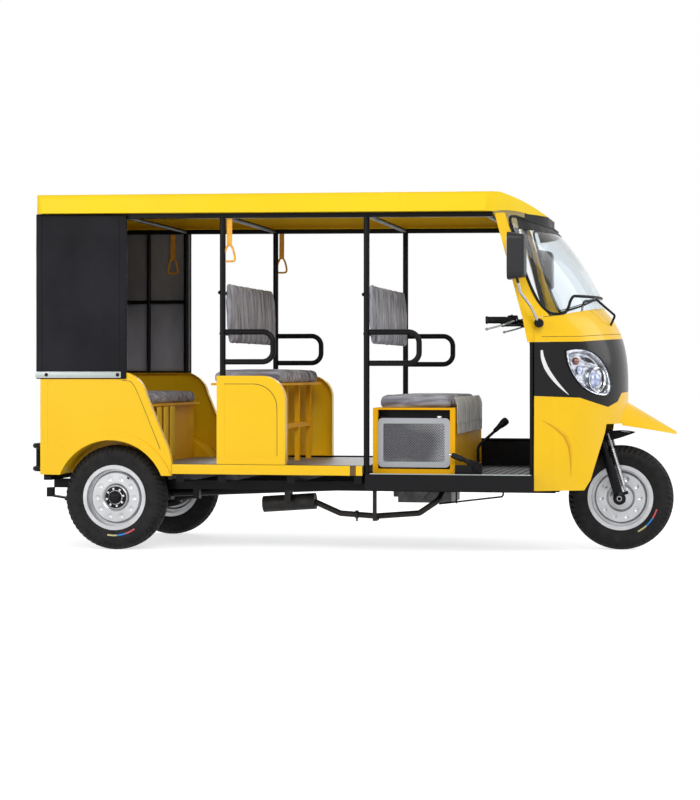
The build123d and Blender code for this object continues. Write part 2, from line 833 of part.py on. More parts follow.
for seat_name, (foot_x, head_x, foot_z, head_z, half_width, thick) in backrest_sizes.items():
    with BuildPart() as backrest:
        with BuildSketch(side_plane(-half_width)):
            with BuildLine():
                Polyline(
                    (foot_x, foot_z),
                    (head_x, head_z),
                    (head_x - thick, head_z),
                    (foot_x - thick, foot_z),
                    close=True,
                )
            make_face()
        extrude(amount=-2 * half_width)
        fillet(backrest.edges().filter_by(Axis.Y), radius=14)
    save(backrest.part, f"{seat_name}_backrest")

rear_cushion_front, rear_cushion_back, rear_cushion_low, _, rear_cushion_half = cushion_sizes["rear"]
mid_cushion_front, mid_cushion_back, mid_cushion_low, _, mid_cushion_half = cushion_sizes["middle"]

with BuildPart() as rear_seat_base:
    # board on an upright front and two cross walls
    block(
        (rear_cushion_back - 72, rear_cushion_front),
        (-rear_cushion_half, rear_cushion_half),
        (rear_cushion_low - seat_gap - seat_board, rear_cushion_low - seat_gap),
    )
    for wall_x in (rear_cushion_front - 40, rear_cushion_back + 20):
        block(
            (wall_x - 8, wall_x + 8),
            (-rear_cushion_half + 6, rear_cushion_half - 6),
            (deck_top_z + seat_gap, rear_cushion_low - seat_gap),
        )
save(rear_seat_base.part, "rear_seat_base")

leg_rail_z = 620.0
with BuildPart() as middle_seat_base:
    # board on an open stand of square tube
    block(
        (mid_cushion_back, mid_cushion_front),
        (-mid_cushion_half, mid_cushion_half),
        (mid_cushion_low - seat_gap - seat_board, mid_cushion_low - seat_gap),
    )
    leg_places = (-420, -140, 140, 420)
    for leg_x in (mid_cushion_front - 60, mid_cushion_back + 60):
        for leg_y in leg_places:
            block(
                (leg_x - leg_tube / 2, leg_x + leg_tube / 2),
                (leg_y - leg_tube / 2, leg_y + leg_tube / 2),
                (deck_top_z + seat_gap, mid_cushion_low - seat_board - 2 * seat_gap),
            )
        # rails from leg to leg
        for near_y, far_y in zip(leg_places, leg_places[1:]):
            block(
                (leg_x - leg_tube / 2, leg_x + leg_tube / 2),
                (near_y + leg_tube / 2 + seat_gap, far_y - leg_tube / 2 - seat_gap),
                (leg_rail_z, leg_rail_z + leg_tube),
            )
save(middle_seat_base.part, "middle_seat_base")

# backrest frames carried by the posts
with BuildPart() as backrest_frames:
    # two cross tubes from post to post, behind each of the two middle backrests
    for post_x, name in ((post_b_x, "middle"), (post_c_x, "driver")):
        foot_x, head_x, foot_z, head_z, half_width, thick = backrest_sizes[name]
        for bar_z in (foot_z + 60, head_z - 60):
            face_x = foot_x + (head_x - foot_x) * (bar_z - foot_z) / (head_z - foot_z) - thick
            bar_x = face_x - 9.5 - 0.6
            with BuildSketch(side_plane(-post_y + post_radius + seat_gap)):
                with Locations((bar_x, bar_z)):
                    Circle(9.5)
            extrude(amount=-2 * (post_y - post_radius - seat_gap))
save(backrest_frames.part, "backrest_frames")

box_rear_x = post_c_x + 17.0
box_front_x = 582.0
box_low_z = cab_floor_z + seat_gap
box_top_z = 738.0 - seat_gap
box_half = 498.0
box_tube = 26.0
with BuildPart() as driver_seat_box:
    # top board
    block((box_rear_x, box_front_x), (-box_half, box_half), (box_top_z - 10, box_top_z))
    # angle posts, bottom and top rims
    for corner_x in (box_rear_x + box_tube / 2, box_front_x - box_tube / 2):
        for corner_y in (-box_half + box_tube / 2, box_half - box_tube / 2):
            block(
                (corner_x - box_tube / 2, corner_x + box_tube / 2),
                (corner_y - box_tube / 2, corner_y + box_tube / 2),
                (box_low_z, box_top_z),
            )
    # front and back sheets
    block((box_front_x - sheet, box_front_x), (-box_half, box_half), (box_low_z, box_top_z))
    block((box_rear_x, box_rear_x + sheet), (-box_half, box_half), (box_low_z, box_top_z))
    for rim_y in (-box_half + box_tube / 2, box_half - box_tube / 2):
        block(
            (box_rear_x, box_front_x),
            (rim_y - box_tube / 2, rim_y + box_tube / 2),
            (box_low_z, box_low_z + box_tube),
        )
save(driver_seat_box.part, "driver_seat_box")

radiator_x = (box_rear_x + box_tube + seat_gap, box_front_x - box_tube - seat_gap)
radiator_z = (438.0, 686.0)
radiator_frame = 28.0
radiator_depth = 42.0
radiator_fin = 9.0         # pitch of the core's fins
with BuildPart() as radiator:
    radiator_wide = radiator_x[1] - radiator_x[0]
    radiator_high = radiator_z[1] - radiator_z[0]
    radiator_mid = (sum(radiator_x) / 2, sum(radiator_z) / 2)
    core_wide = radiator_wide - 2 * radiator_frame
    core_high = radiator_high - 2 * radiator_frame
    # rounded shroud, open at its face
    with BuildSketch(side_plane(-box_half + 2)):
        with Locations(radiator_mid):
            RectangleRounded(radiator_wide, radiator_high, 24)
            RectangleRounded(core_wide, core_high, 8, mode=Mode.SUBTRACT)
    extrude(amount=-radiator_depth)
    # core set back in it, with its fins
    with BuildSketch(side_plane(-box_half + 18)):
        with Locations(radiator_mid):
            Rectangle(core_wide + 4, core_high + 4)
    extrude(amount=-18)
    fin_count = int(core_wide / radiator_fin)
    with BuildSketch(side_plane(-box_half + 10)):
        with Locations(radiator_mid):
            with GridLocations(radiator_fin, 1, fin_count, 1):
                Rectangle(2.4, core_high + 4)
    extrude(amount=-9)
save(radiator.part, "radiator")

engine_rear_x = 191.7
crankcase_half = 150.0
lug_rear_x = 201.3         # the lugs reach the cross members at 201 and 540
lug_front_x = 539.7
with BuildPart() as engine:
    # crankcase with its gearbox tail, on two mounting lugs
    block((230, 512), (-crankcase_half, crankcase_half), (238, 420))
    block((engine_rear_x, 240), (-70, 70), (262, 352))
    for lug_y in (-110, 110):
        block((lug_rear_x, lug_front_x), (lug_y - 20, lug_y + 20), (362, 392))
    fillet(engine.faces().sort_by(Axis.Z)[-1].edges(), radius=18)
    # barrel, head and cooling fins
    with BuildSketch(Plane.XY.offset(410)):
        with Locations((380, 0)):
            Circle(56)
    extrude(amount=180)
    for fin in range(7):
        with BuildSketch(Plane.XY.offset(436 + 18 * fin)):
            with Locations((380, 0)):
                RectangleRounded(164, 164, 30)
        extrude(amount=5)
    block((318, 442), (-60, 60), (568, 628))
    # clutch and dynamo covers
    for cover_side in (-1, 1):
        with BuildSketch(side_plane(cover_side * 150)):
            with Locations((330, 322)):
                Circle(72)
        extrude(amount=-cover_side * 26, taper=8)
save(engine.part, "engine")

# ---------------------------------------------------------------- armrests
arm_radius = 14.0
arm_y = post_y
arm_bend = 55.0
# post x, lower and upper rail, x of the loop's front
arm_loops = [
    (post_b_x, 970.0, 1122.0, -324.0 - arm_radius),
    (post_c_x, 962.0, 1118.0, 426.0 - arm_radius),
]
with BuildPart() as armrests:
    for side in (-1, 1):
        for post_x, low_z, top_z, front_x in arm_loops:
            start_x = post_x + post_radius + seat_gap
            round_bar(
                [
                    (start_x, side * arm_y, low_z),
                    (front_x, side * arm_y, low_z),
                    (front_x, side * arm_y, top_z),
                    (start_x, side * arm_y, top_z),
                ],
                arm_radius,
                arm_bend,
            )
save(armrests.part, "armrests")

# ---------------------------------------------------------------- rear axle and drive
axle_tube = 30.0
backing_y = 442.0
backing_plate = 4.0
drive_radius = 92.0
drive_half = 84.0
drive_nose = 150.0
with BuildPart() as rear_axle:
    # final drive, flat where the tubes bolt on
    with Locations((rear_axle_x, 0, wheel_radius)):
        Sphere(drive_radius)
    block(
        (rear_axle_x - drive_radius, rear_axle_x + drive_radius),
        (-drive_half, drive_half),
        (wheel_radius - drive_radius, wheel_radius + drive_radius),
        mode=Mode.INTERSECT,
    )
    with BuildSketch(cross_plane(rear_axle_x)):
        with Locations((0, wheel_radius)):
            Circle(46)
    extrude(amount=drive_nose)
    for side in (-1, 1):
        # axle tube from the final drive to the backing plate
        with BuildSketch(side_plane(side * (drive_half + seat_gap))):
            with Locations((rear_axle_x, wheel_radius)):
                Circle(axle_tube)
        extrude(amount=-side * (backing_y - backing_plate - drive_half - 2 * seat_gap))
        # backing plate and stub
        with BuildSketch(side_plane(side * backing_y)):
            with Locations((rear_axle_x, wheel_radius)):
                Circle(drum_radius)
        extrude(amount=side * backing_plate)
        with BuildSketch(side_plane(side * backing_y)):
            with Locations((rear_axle_x, wheel_radius)):
                Circle(stub_radius)
        extrude(amount=-side * (rear_wheel_y + 44 - backing_y))
    # propeller shaft
    round_bar([(rear_axle_x + drive_nose + 1.6, 0, wheel_radius), (190, 0, 326)], 26)
save(rear_axle.part, "rear_axle")

spring_half = 400.0
spring_width = 50.0
leaf = 8.0
with BuildPart() as leaf_springs:
    for side in (-1, 1):
        with BuildSketch(side_plane(side * rail_y - spring_width / 2)):
            for step in range(4):
                reach = spring_half - 85 * step
                top = wheel_radius - axle_tube - seat_gap - leaf * step
                rise = 34 * (reach / spring_half) ** 2
                with BuildLine():
                    ThreePointArc(
                        (rear_axle_x - reach, top + rise),
                        (rear_axle_x, top),
                        (rear_axle_x + reach, top + rise),
                    )
                    Line((rear_axle_x + reach, top + rise), (rear_axle_x + reach, top + rise - leaf - 0.5))
                    ThreePointArc(
                        (rear_axle_x + reach, top + rise - leaf - 0.5),
                        (rear_axle_x, top - leaf - 0.5),
                        (rear_axle_x - reach, top + rise - leaf - 0.5),
                    )
                    Line((rear_axle_x - reach, top + rise - leaf - 0.5), (rear_axle_x - reach, top + rise))
                make_face()
        extrude(amount=-spring_width)
    for side in (-1, 1):
        y_low = side * rail_y - 20
        for hang_x in (rear_axle_x - spring_half, rear_axle_x + spring_half):
            hang_z = (wheel_radius - 8, rail_low_z - seat_gap)
            block((hang_x - 16, hang_x + 16), (y_low, y_low + 40), hang_z)
save(leaf_springs.part, "leaf_springs")


pipe_radius = 15.0
muffler_radius = 42.0
with BuildPart() as exhaust:
    round_bar([(-170, -330, 252), (-446, -330, 232)], muffler_radius)
    block((-320, -290), (-398, -340), (250, rail_low_z - seat_gap))
    round_bar(
        [
            (-180, -330, 250),
            (-40, -330, 190),
            (150, -330, 178),
            (372, -330, 196),
            (470, -330, 262),
            (480, -230, 300),
            (480, -crankcase_half - seat_gap, 300),
        ],
        pipe_radius,
        34,
    )
    # hanger strap from the rail to under the pipe, and the clamp behind it
    block((142, 162), (-396, -388), (157, rail_low_z - seat_gap))
    block((142, 162), (-388, -322), (157, 166))
    with BuildSketch(cross_plane(40)):
        with Locations((-330, 185)):
            Circle(pipe_radius + 6)
    extrude(amount=14)
    block((43, 51), (-334, -326), (150, 172))
save(exhaust.part, "exhaust")

rod_y = -300.0
with BuildPart() as brake_rod:
    # from the cab floor to a guide under a cross member
    round_bar([(470, rod_y, 243), (800, rod_y, 284), (800, rod_y, cross_tops - seat_gap)], 4.5, 14)
    block((556, 564), (rod_y - 4, rod_y + 4), (246, rail_top_z))
save(brake_rod.part, "brake_rod")

board_rear_x = 440.0
board_front_x = 978.0
board_top_z = 545.0
board_y = side_y - 14.0
with BuildPart() as side_board:
    # low board on the cab's left side, rolled along its top
    block((board_rear_x, board_front_x), (board_y - sheet, board_y), (cab_floor_z + seat_gap, board_top_z))
    with BuildSketch(cross_plane(board_rear_x)):
        with Locations((board_y - 6, board_top_z)):
            Circle(8)
    extrude(amount=board_front_x - board_rear_x)
save(side_board.part, "side_board")

# ---------------------------------------------------------------- rear bumper and lamps
bumper_radius = 14.0
bumper_low_z = 398.0 + bumper_radius
bumper_top_z = 546.0 - bumper_radius
bumper_half = 560.0
with BuildPart() as rear_bumper:
    loop_x = rear_end_x + bumper_radius
    round_bar(
        [
            (body_rear_x - seat_gap, -bumper_half + 60, bumper_top_z),
            (loop_x, -bumper_half + 60, bumper_top_z),
            (loop_x, bumper_half - 60, bumper_top_z),
            (body_rear_x - seat_gap, bumper_half - 60, bumper_top_z),
        ],
        bumper_radius,
        40,
    )
    round_bar(
        [
            (body_rear_x - seat_gap, -bumper_half + 60, bumper_low_z),
            (loop_x, -bumper_half + 60, bumper_low_z),
            (loop_x, bumper_half - 60, bumper_low_z),
            (body_rear_x - seat_gap, bumper_half - 60, bumper_low_z),
        ],
        bumper_radius,
        40,
    )
    for upright_y in (140 - bumper_half, bumper_half - 140):
        round_bar([(loop_x, upright_y, bumper_low_z), (loop_x, upright_y, bumper_top_z)], bumper_radius - 1)
save(rear_bumper.part, "rear_bumper")

with BuildPart() as tail_lamps:
    with BuildSketch(cross_plane(body_rear_x - seat_gap)):
        with Locations((-490, 700), (490, 700)):
            RectangleRounded(80, 190, 18)
    extrude(amount=-26)
save(tail_lamps.part, "tail_lamps")

# ---------------------------------------------------------------- front shell
# z, x and half width at the back edge, x and half width at the corner, x of the nose
shell_sections = [
    (329.0, 985.0, 560.0, 1075.0, 512.0, 1462.0),
    (640.0, 985.0, 560.0, 1075.0, 506.0, 1416.0),
    (958.0, 985.0, 552.0, 1075.0, 500.0, 1409.0),
    (1180.0, 985.0, 533.0, 1075.0, 487.0, 1340.0),
    (1262.0, 985.0, 508.0, 1065.0, 462.0, 1268.0),
]
shell = 4.0
glass_line = [(980, 1188), (1075, 1196), (1289, 1244), (1420, 1273)]


def front_form(inset):
    """The front shell's outer form, drawn in by inset, lofted through its plan sections."""
    for z, back_x, back_half, corner_x, corner_half, nose_x in shell_sections:
        with BuildSketch(Plane.XY.offset(z)) as plan:
            with BuildLine() as outline:
                Line((back_x, inset - back_half), (corner_x, inset - corner_half))
                ThreePointArc(
                    (corner_x, inset - corner_half), (nose_x - inset, 0), (corner_x, corner_half - inset)
                )
                Line((corner_x, corner_half - inset), (back_x, back_half - inset))
                Line((back_x, back_half - inset), (back_x, inset - back_half))
            make_face(outline.edges())
        yield plan.sketch


with BuildPart() as front_outer:
    loft(sections=list(front_form(0)))
with BuildPart() as front_inner:
    loft(sections=list(front_form(shell)))

apron_top = [(960, 800), (1200, 790), (1330, 742), (1372, 768), (1390, 812), (1500, 830)]
mask_top = [(960, 1066), (1200, 1070), (1330, 1082), (1420, 1092), (1500, 1096)]

with BuildPart() as front_apron:
    add(front_outer.part)
    add(front_inner.part, mode=Mode.SUBTRACT)
    # below the mask
    with BuildSketch(side_plane(0)):
        with BuildLine():
            Polyline((900, 300), *[(x, z - seat_gap) for x, z in apron_top], (1500, 300), (900, 300))
        make_face()
    extrude(amount=700, both=True, mode=Mode.INTERSECT)
    # wheel opening: the front is cut away below the mudguard
    with BuildSketch(side_plane(0)):
        with BuildLine():
            Polyline(
                (1217, 320), (1252, 379), (1316, 612), (1322, 656), (1600, 656), (1600, 320), close=True
            )
        make_face()
    extrude(amount=700, both=True, mode=Mode.SUBTRACT)
save(front_apron.part, "front_apron")

with BuildPart() as mask_shell:
    add(front_outer.part)
    add(front_inner.part, mode=Mode.SUBTRACT)
    with BuildSketch(side_plane(0)):
        with BuildLine():
            Polyline(*apron_top, *[(x, z - seat_gap) for x, z in reversed(mask_top)], apron_top[0])
        make_face()
    extrude(amount=700, both=True, mode=Mode.INTERSECT)

with BuildPart() as front_cowl:
    add(front_outer.part)
    add(front_inner.part, mode=Mode.SUBTRACT)
    with BuildSketch(side_plane(0)):
        with BuildLine():
            Polyline(*mask_top, *reversed(glass_line), mask_top[0])
        make_face()
    extrude(amount=700, both=True, mode=Mode.INTERSECT)
save(front_cowl.part, "front_cowl")

with BuildPart() as front_cutter:
    loft(sections=list(front_form(-seat_gap)))

# front mudguard: x, half width, underside, ridge
beak_sections = [
    (1290.0, 196.0, 660.0, 836.0),
    (1480.0, 126.0, 632.0, 722.0),
    (nose_tip_x, 20.0, 598.0, 612.0),
]
beak_shell = 4.0


def beak_form(inset, drop):
    """Arched sections of the mudguard, drawn in by inset and reaching drop below its rim."""
    for x, half_width, low_z, top_z in beak_sections:
        half = half_width - inset
        with BuildSketch(cross_plane(x)) as section:
            with BuildLine() as outline:
                Line((-half, low_z - drop), (half, low_z - drop))
                Line((half, low_z - drop), (half, low_z + 1))
                ThreePointArc((half, low_z + 1), (0, top_z - inset), (-half, low_z + 1))
                Line((-half, low_z + 1), (-half, low_z - drop))
            make_face(outline.edges())
        yield section.sketch


with BuildPart() as beak_core:
    loft(sections=list(beak_form(beak_shell, 30)))
with BuildPart() as front_mudguard:
    loft(sections=list(beak_form(0, 0)))
    add(beak_core.part, mode=Mode.SUBTRACT)
    add(front_cutter.part, mode=Mode.SUBTRACT)
save(front_mudguard.part, "front_mudguard")

# dash: firewall and the shelf under the handlebar
with BuildPart() as dash_form:
    loft(sections=list(front_form(shell + seat_gap)))
shelf_low = (firewall_x, 1036.0)
shelf_high = (1300.0, 1036.0 + 264.0 * math.tan(math.radians(rake)))
with BuildPart() as dash_panel:
    add(dash_form.part)
    with BuildSketch(side_plane(0)):
        with BuildLine():
            Polyline(
                (firewall_x, rail_top_z + 2),
                (firewall_x, shelf_low[1]),
                shelf_high,
                (1420, shelf_high[1]),
                (1420, shelf_high[1] - sheet),
                (shelf_high[0], shelf_high[1] - sheet),
                (firewall_x + sheet, shelf_low[1] - sheet),
                (firewall_x + sheet, rail_top_z + 2),
                close=True,
            )
        make_face()
    extrude(amount=700, both=True, mode=Mode.INTERSECT)
    # room for the stem, and for the steering head's tubes
    with BuildSketch(fork_plane(head_low_up + 200)):
        Circle(stem_radius + 8)
    extrude(amount=400, mode=Mode.SUBTRACT)
save(dash_panel.part, "dash_panel")

# headlamps: x on the outline runs forward round the corner, y is the height
lamp_angle = 45.0
shell_arc_centre = 868.0
shell_arc_radius = 541.0
lamp_tip = (-146, 1024)
lamp_front = (146, 872)
lamp_low = (92, 800)


def lamp_plane(away):
    """A plane on the shell's right corner, facing out along the lamp, away mm outside it."""
    turn = math.radians(lamp_angle)
    outward = (math.cos(turn), -math.sin(turn), 0)
    corner = (shell_arc_centre + shell_arc_radius * outward[0], shell_arc_radius * outward[1], 0)
    return Plane(origin=corner, x_dir=(math.sin(turn), math.cos(turn), 0), z_dir=outward).offset(away)


def lamp_face(inset):
    """Teardrop outline of the right lamp; its tip is at the back."""
    with BuildLine() as outline:
        ThreePointArc(lamp_tip, (52, 992), lamp_front)
        ThreePointArc(lamp_front, (140, 818), lamp_low)
        ThreePointArc(lamp_low, (-62, 852), lamp_tip)
    make_face(outline.edges())
    if inset:
        offset(amount=-inset)


lamp_reach = 120.0
with BuildPart() as lamp_cut:
    with BuildSketch(lamp_plane(-lamp_reach)):
        lamp_face(0)
    extrude(amount=2 * lamp_reach)
    mirror(about=Plane.XZ)
with BuildPart() as lamp_mask:
    add(mask_shell.part)
    add(lamp_cut.part, mode=Mode.SUBTRACT)
save(lamp_mask.part, "lamp_mask")

with BuildPart() as lamp_outer:
    loft(sections=list(front_form(-5.0)))
with BuildPart() as lamp_inner:
    loft(sections=list(front_form(44.0)))
with BuildPart() as headlamps:
    with BuildSketch(lamp_plane(-lamp_reach)):
        lamp_face(0.4)
    extrude(amount=2 * lamp_reach)
    mirror(about=Plane.XZ)
    add(lamp_outer.part, mode=Mode.INTERSECT)
    add(lamp_inner.part, mode=Mode.SUBTRACT)
save(headlamps.part, "headlamps")

# ---------------------------------------------------------------- windscreen and pillars
glass = 4.0
# z, x and half width at the glass's edge, x at its middle
glass_sections = [
    (1180.0, 1086.0, 480.0, 1322.0),
    (1300.0, 988.0, 515.0, 1274.0),
    (1450.0, 930.0, 546.0, 1194.0),
    (1700.0, 852.0, 566.0, 990.0),
]
with BuildPart() as windscreen:
    for z, edge_x, edge_half, middle_x in glass_sections:
        with BuildSketch(Plane.XY.offset(z)):
            with BuildLine():
                inner_half = edge_half - glass
                ThreePointArc((edge_x, -edge_half), (middle_x, 0), (edge_x, edge_half))
                Line((edge_x, edge_half), (edge_x - 2, inner_half))
                ThreePointArc((edge_x - 2, inner_half), (middle_x - glass, 0), (edge_x - 2, -inner_half))
                Line((edge_x - 2, -inner_half), (edge_x, -edge_half))
            make_face()
    loft()
    with BuildSketch(side_plane(0)):
        with BuildLine():
            Polyline(
                *[(x, z + seat_gap) for x, z in glass_line],
                (1420, 1400),
                (1030, 1660),
                (840, 1707),
                (700, 1707),
                (700, 1188 + seat_gap),
                close=True,
            )
        make_face()
    extrude(amount=700, both=True, mode=Mode.INTERSECT)
save(windscreen.part, "windscreen")

pillar = 5.0
# z, then x and y of the pillar's back edge and of its front edge beside the glass
pillar_sections = [
    (1066.0, 951.0, 560.0, 984.4, 541.0),
    (1190.0, 927.0, 565.0, 984.4, 534.0),
    (1195.5, 925.0, 566.0, 1056.0, 500.0),
    (1300.0, 897.0, 568.0, 977.0, 525.0),
    (1450.0, 858.0, 571.0, 920.0, 554.0),
    (1707.0, 790.0, 577.0, 841.0, 573.0),
]
with BuildPart() as a_pillars:
    for z, back_x, back_y, front_x, front_y in pillar_sections:
        with BuildSketch(Plane.XY.offset(z)):
            with BuildLine():
                Polyline(
                    (back_x, -back_y),
                    (front_x, -front_y),
                    (front_x, pillar - front_y),
                    (back_x, pillar - back_y),
                    close=True,
                )
            make_face()
    loft(ruled=True)
    mirror(about=Plane.XZ)
save(a_pillars.part, "a_pillars")

frame_tube = 12.5
frame_y = 526.0
with BuildPart() as cab_frame:
    for side in (-1, 1):
        round_bar(
            [
                (971.9, side * frame_y, cab_floor_z + seat_gap),
                (971.9, side * frame_y, 1060),
                (816, side * (frame_y + 10), 1706),
            ],
            frame_tube,
            120,
        )
save(cab_frame.part, "cab_frame")

# ---------------------------------------------------------------- mirrors, wiper
mirror_depth = 84.0
mirror_width = 150.0
mirror_height = 232.0
mirror_x = 916.0
mirror_y = 700.0
mirror_z = 1485.0
with BuildPart() as mirrors:
    mirror_back = (mirror_x - mirror_depth / 2, -mirror_y, mirror_z)
    with BuildSketch(Plane(origin=mirror_back, x_dir=(0, 1, 0), z_dir=(1, 0, 0))):
        RectangleRounded(mirror_width, mirror_height, 34)
    extrude(amount=mirror_depth, taper=9)
    fillet(mirrors.faces().sort_by(Axis.X)[-1].edges(), radius=16)
    round_bar(
        [
            (1009, -500, 1160),
            (1009, -566, 1160),
            (975, -620, 1240),
            (930, -690, 1310),
            (mirror_x, -mirror_y, mirror_z - mirror_height / 2 + 12),
        ],
        7.0,
        25,
    )
    add(front_cutter.part, mode=Mode.SUBTRACT)
    mirror(about=Plane.XZ)
save(mirrors.part, "mirrors")

with BuildPart() as wiper:
    round_bar([(1330, -150, 1150), (1356, -150, 1206), (1266, -222, 1286)], 6.0, 14)
    round_bar([(1262, -225, 1285), (1206, -360, 1250), (1106, -474, 1212)], 5.0, 200)
    add(front_cutter.part, mode=Mode.SUBTRACT)
save(wiper.part, "wiper")

# ---------------------------------------------------------------- controls
with BuildPart() as driver_controls:
    # gear lever
    round_bar([(600, 230, cab_floor_z + seat_gap), (600, 230, 520), (726, 300, 640)], 8.0, 40)
    with Locations((730, 302, 646)):
        Sphere(19)

    # parking brake
    block((590, 720), (-560, -520), (cab_floor_z + seat_gap, cab_floor_z + 50))
    round_bar([(690, -540, cab_floor_z + 40), (640, -540, 478), (570, -540, 503)], 11, 30)

    # brake pedal
    pedal_x = firewall_x - 40
    pedal_foot = (pedal_x, -180, cab_floor_z + seat_gap)
    round_bar([pedal_foot, (pedal_x, -180, 460), (pedal_x - 22, -180, 520)], 9, 30)
    block((pedal_x - 44, pedal_x - 6), (-215, -145), (512, 560))
save(driver_controls.part, "driver_controls")

# ---------------------------------------------------------------- grab straps
strap_places = [-566.0, -1206.0]
strap_width = 28.0
strap_low_z = 1470.0
with BuildPart() as grab_straps:
    for side in (-1, 1):
        for strap_x in strap_places:
            block(
                (strap_x - strap_width / 2, strap_x + strap_width / 2),
                sorted((side * (post_y - 2), side * (post_y + 2))),
                (strap_low_z, roof_underside(strap_x) - roof_tube - 3 * seat_gap),
            )
save(grab_straps.part, "grab_straps")
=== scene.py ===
"""Looks of the auto rickshaw: materials, tyres, upholstery, curtains, straps, trim, lights and camera.

Metres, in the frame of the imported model: +X forward, +Y the vehicle's left, +Z up, origin on the ground.
"""
import math

import bmesh
import bpy
import numpy as np
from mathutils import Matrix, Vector, noise
from mathutils.bvhtree import BVHTree


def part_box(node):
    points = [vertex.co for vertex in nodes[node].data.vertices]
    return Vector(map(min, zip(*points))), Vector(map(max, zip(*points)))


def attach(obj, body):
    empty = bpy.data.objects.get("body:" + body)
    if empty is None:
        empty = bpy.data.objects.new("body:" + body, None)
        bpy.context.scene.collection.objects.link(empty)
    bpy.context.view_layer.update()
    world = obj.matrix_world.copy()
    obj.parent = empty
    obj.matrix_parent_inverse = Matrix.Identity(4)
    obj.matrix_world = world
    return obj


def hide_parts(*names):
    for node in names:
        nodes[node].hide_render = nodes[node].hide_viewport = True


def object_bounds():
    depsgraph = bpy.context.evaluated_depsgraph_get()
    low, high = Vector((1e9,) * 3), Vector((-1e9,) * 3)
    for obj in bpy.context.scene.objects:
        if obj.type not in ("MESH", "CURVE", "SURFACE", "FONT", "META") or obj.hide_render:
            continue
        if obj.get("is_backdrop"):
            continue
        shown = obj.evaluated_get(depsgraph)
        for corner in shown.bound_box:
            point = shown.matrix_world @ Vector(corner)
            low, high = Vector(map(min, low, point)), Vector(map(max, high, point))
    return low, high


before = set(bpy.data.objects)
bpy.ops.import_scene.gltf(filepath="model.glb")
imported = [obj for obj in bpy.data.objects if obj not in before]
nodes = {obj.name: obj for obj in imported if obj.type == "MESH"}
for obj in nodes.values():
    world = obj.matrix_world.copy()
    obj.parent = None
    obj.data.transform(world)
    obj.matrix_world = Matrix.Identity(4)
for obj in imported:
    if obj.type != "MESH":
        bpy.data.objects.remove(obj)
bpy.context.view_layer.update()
both_sides = (("right", -1), ("left", 1))


def placed(name, data):
    """An object in the scene for some data."""
    made = bpy.data.objects.new(name, data)
    bpy.context.scene.collection.objects.link(made)
    return made


def node_of(tree, kind, **values):
    """A shader node, with plain values on its inputs."""
    made = tree.nodes.new("ShaderNode" + kind)
    for name, value in values.items():
        made.inputs[name].default_value = value
    return made


def any_ray(tree, first, *others):
    """1 where a ray is of one of the kinds."""
    rays = node_of(tree, "LightPath")
    seen = rays.outputs[first]
    for kind in others:
        either = node_of(tree, "Math")
        either.operation = "MAXIMUM"
        tree.links.new(seen, either.inputs[0])
        tree.links.new(rays.outputs[kind], either.inputs[1])
        seen = either.outputs[0]
    return seen


def shaders_joined(tree, kind, *sources):
    """A Mix Shader or Add Shader node over its sources, in order."""
    joint = node_of(tree, kind)
    for socket, source in zip(joint.inputs, sources):
        tree.links.new(source, socket)
    return joint.outputs[0]


# ---- camera
view_angle = math.radians(11.4)
view_distance = 10.5
view_centre_x = -0.056
view_height = 0.908
camera_data = bpy.data.cameras.new("camera")
camera_data.sensor_width = 36.0
camera_data.lens = 88.74
camera_data.shift_y = -0.0325
camera = placed("camera", camera_data)
camera.location = (
    view_centre_x + view_distance * math.sin(view_angle),
    -view_distance * math.cos(view_angle),
    view_height,
)
camera.rotation_euler = (math.radians(90), 0, view_angle)
bpy.context.scene.camera = camera
bpy.context.scene.view_settings.view_transform = "Standard"

# ---- world, floor and lamps
world = bpy.data.worlds.new("studio")
bpy.context.scene.world = world
world.use_nodes = True
tree = world.node_tree
tree.nodes.clear()
sky = node_of(tree, "Background", Color=(0.95, 0.97, 1.0, 1), Strength=0.5)
backdrop = node_of(tree, "Background", Color=(1, 1, 1, 1), Strength=1.0)
seen_directly = any_ray(tree, "Is Camera Ray", "Is Transmission Ray", "Is Glossy Ray")
world_look = shaders_joined(tree, "MixShader", seen_directly, sky.outputs[0], backdrop.outputs[0])
tree.links.new(world_look, node_of(tree, "OutputWorld").inputs["Surface"])


def lamp(name, place, target, size, watts):
    """A soft rectangular area lamp at place, aimed at target."""
    data = bpy.data.lights.new(name, "AREA")
    data.shape = "RECTANGLE"
    data.size, data.size_y = size
    data.energy = watts
    made = placed(name, data)
    made.location = place
    made.rotation_euler = (Vector(target) - Vector(place)).to_track_quat("-Z", "Y").to_euler()


lamp("key", (2.6, -6.0, 4.6), (0.1, 0, 0.8), (4.0, 3.0), 235)
lamp("fill", (-4.0, -5.0, 2.6), (-0.4, 0, 0.8), (4.0, 3.0), 120)
lamp("front", (6.0, 0.8, 2.8), (0.8, 0, 0.9), (3.0, 3.0), 80)
lamp("back", (-2.0, 6.0, 3.6), (0, 0, 0.9), (4.0, 3.0), 70)


# ---- material helpers
def shader_of(made):
    return made.node_tree.nodes["Principled BSDF"]


def material(name, color, rough=0.5, metal=0.0, coat=0.0, coat_rough=0.1, sheen=0.0, specular=0.5, extra=()):
    """A Principled material; its plain values sit on the shader's own sockets."""
    made = bpy.data.materials.new(name)
    made.use_nodes = True
    values = {
        "Base Color": (*color, 1), "Roughness": rough, "Metallic": metal, "Coat Weight": coat,
        "Coat Roughness": coat_rough, "Sheen Weight": sheen, "Specular IOR Level": specular, **dict(extra),
    }
    for socket, value in values.items():
        shader_of(made).inputs[socket].default_value = value
    return made


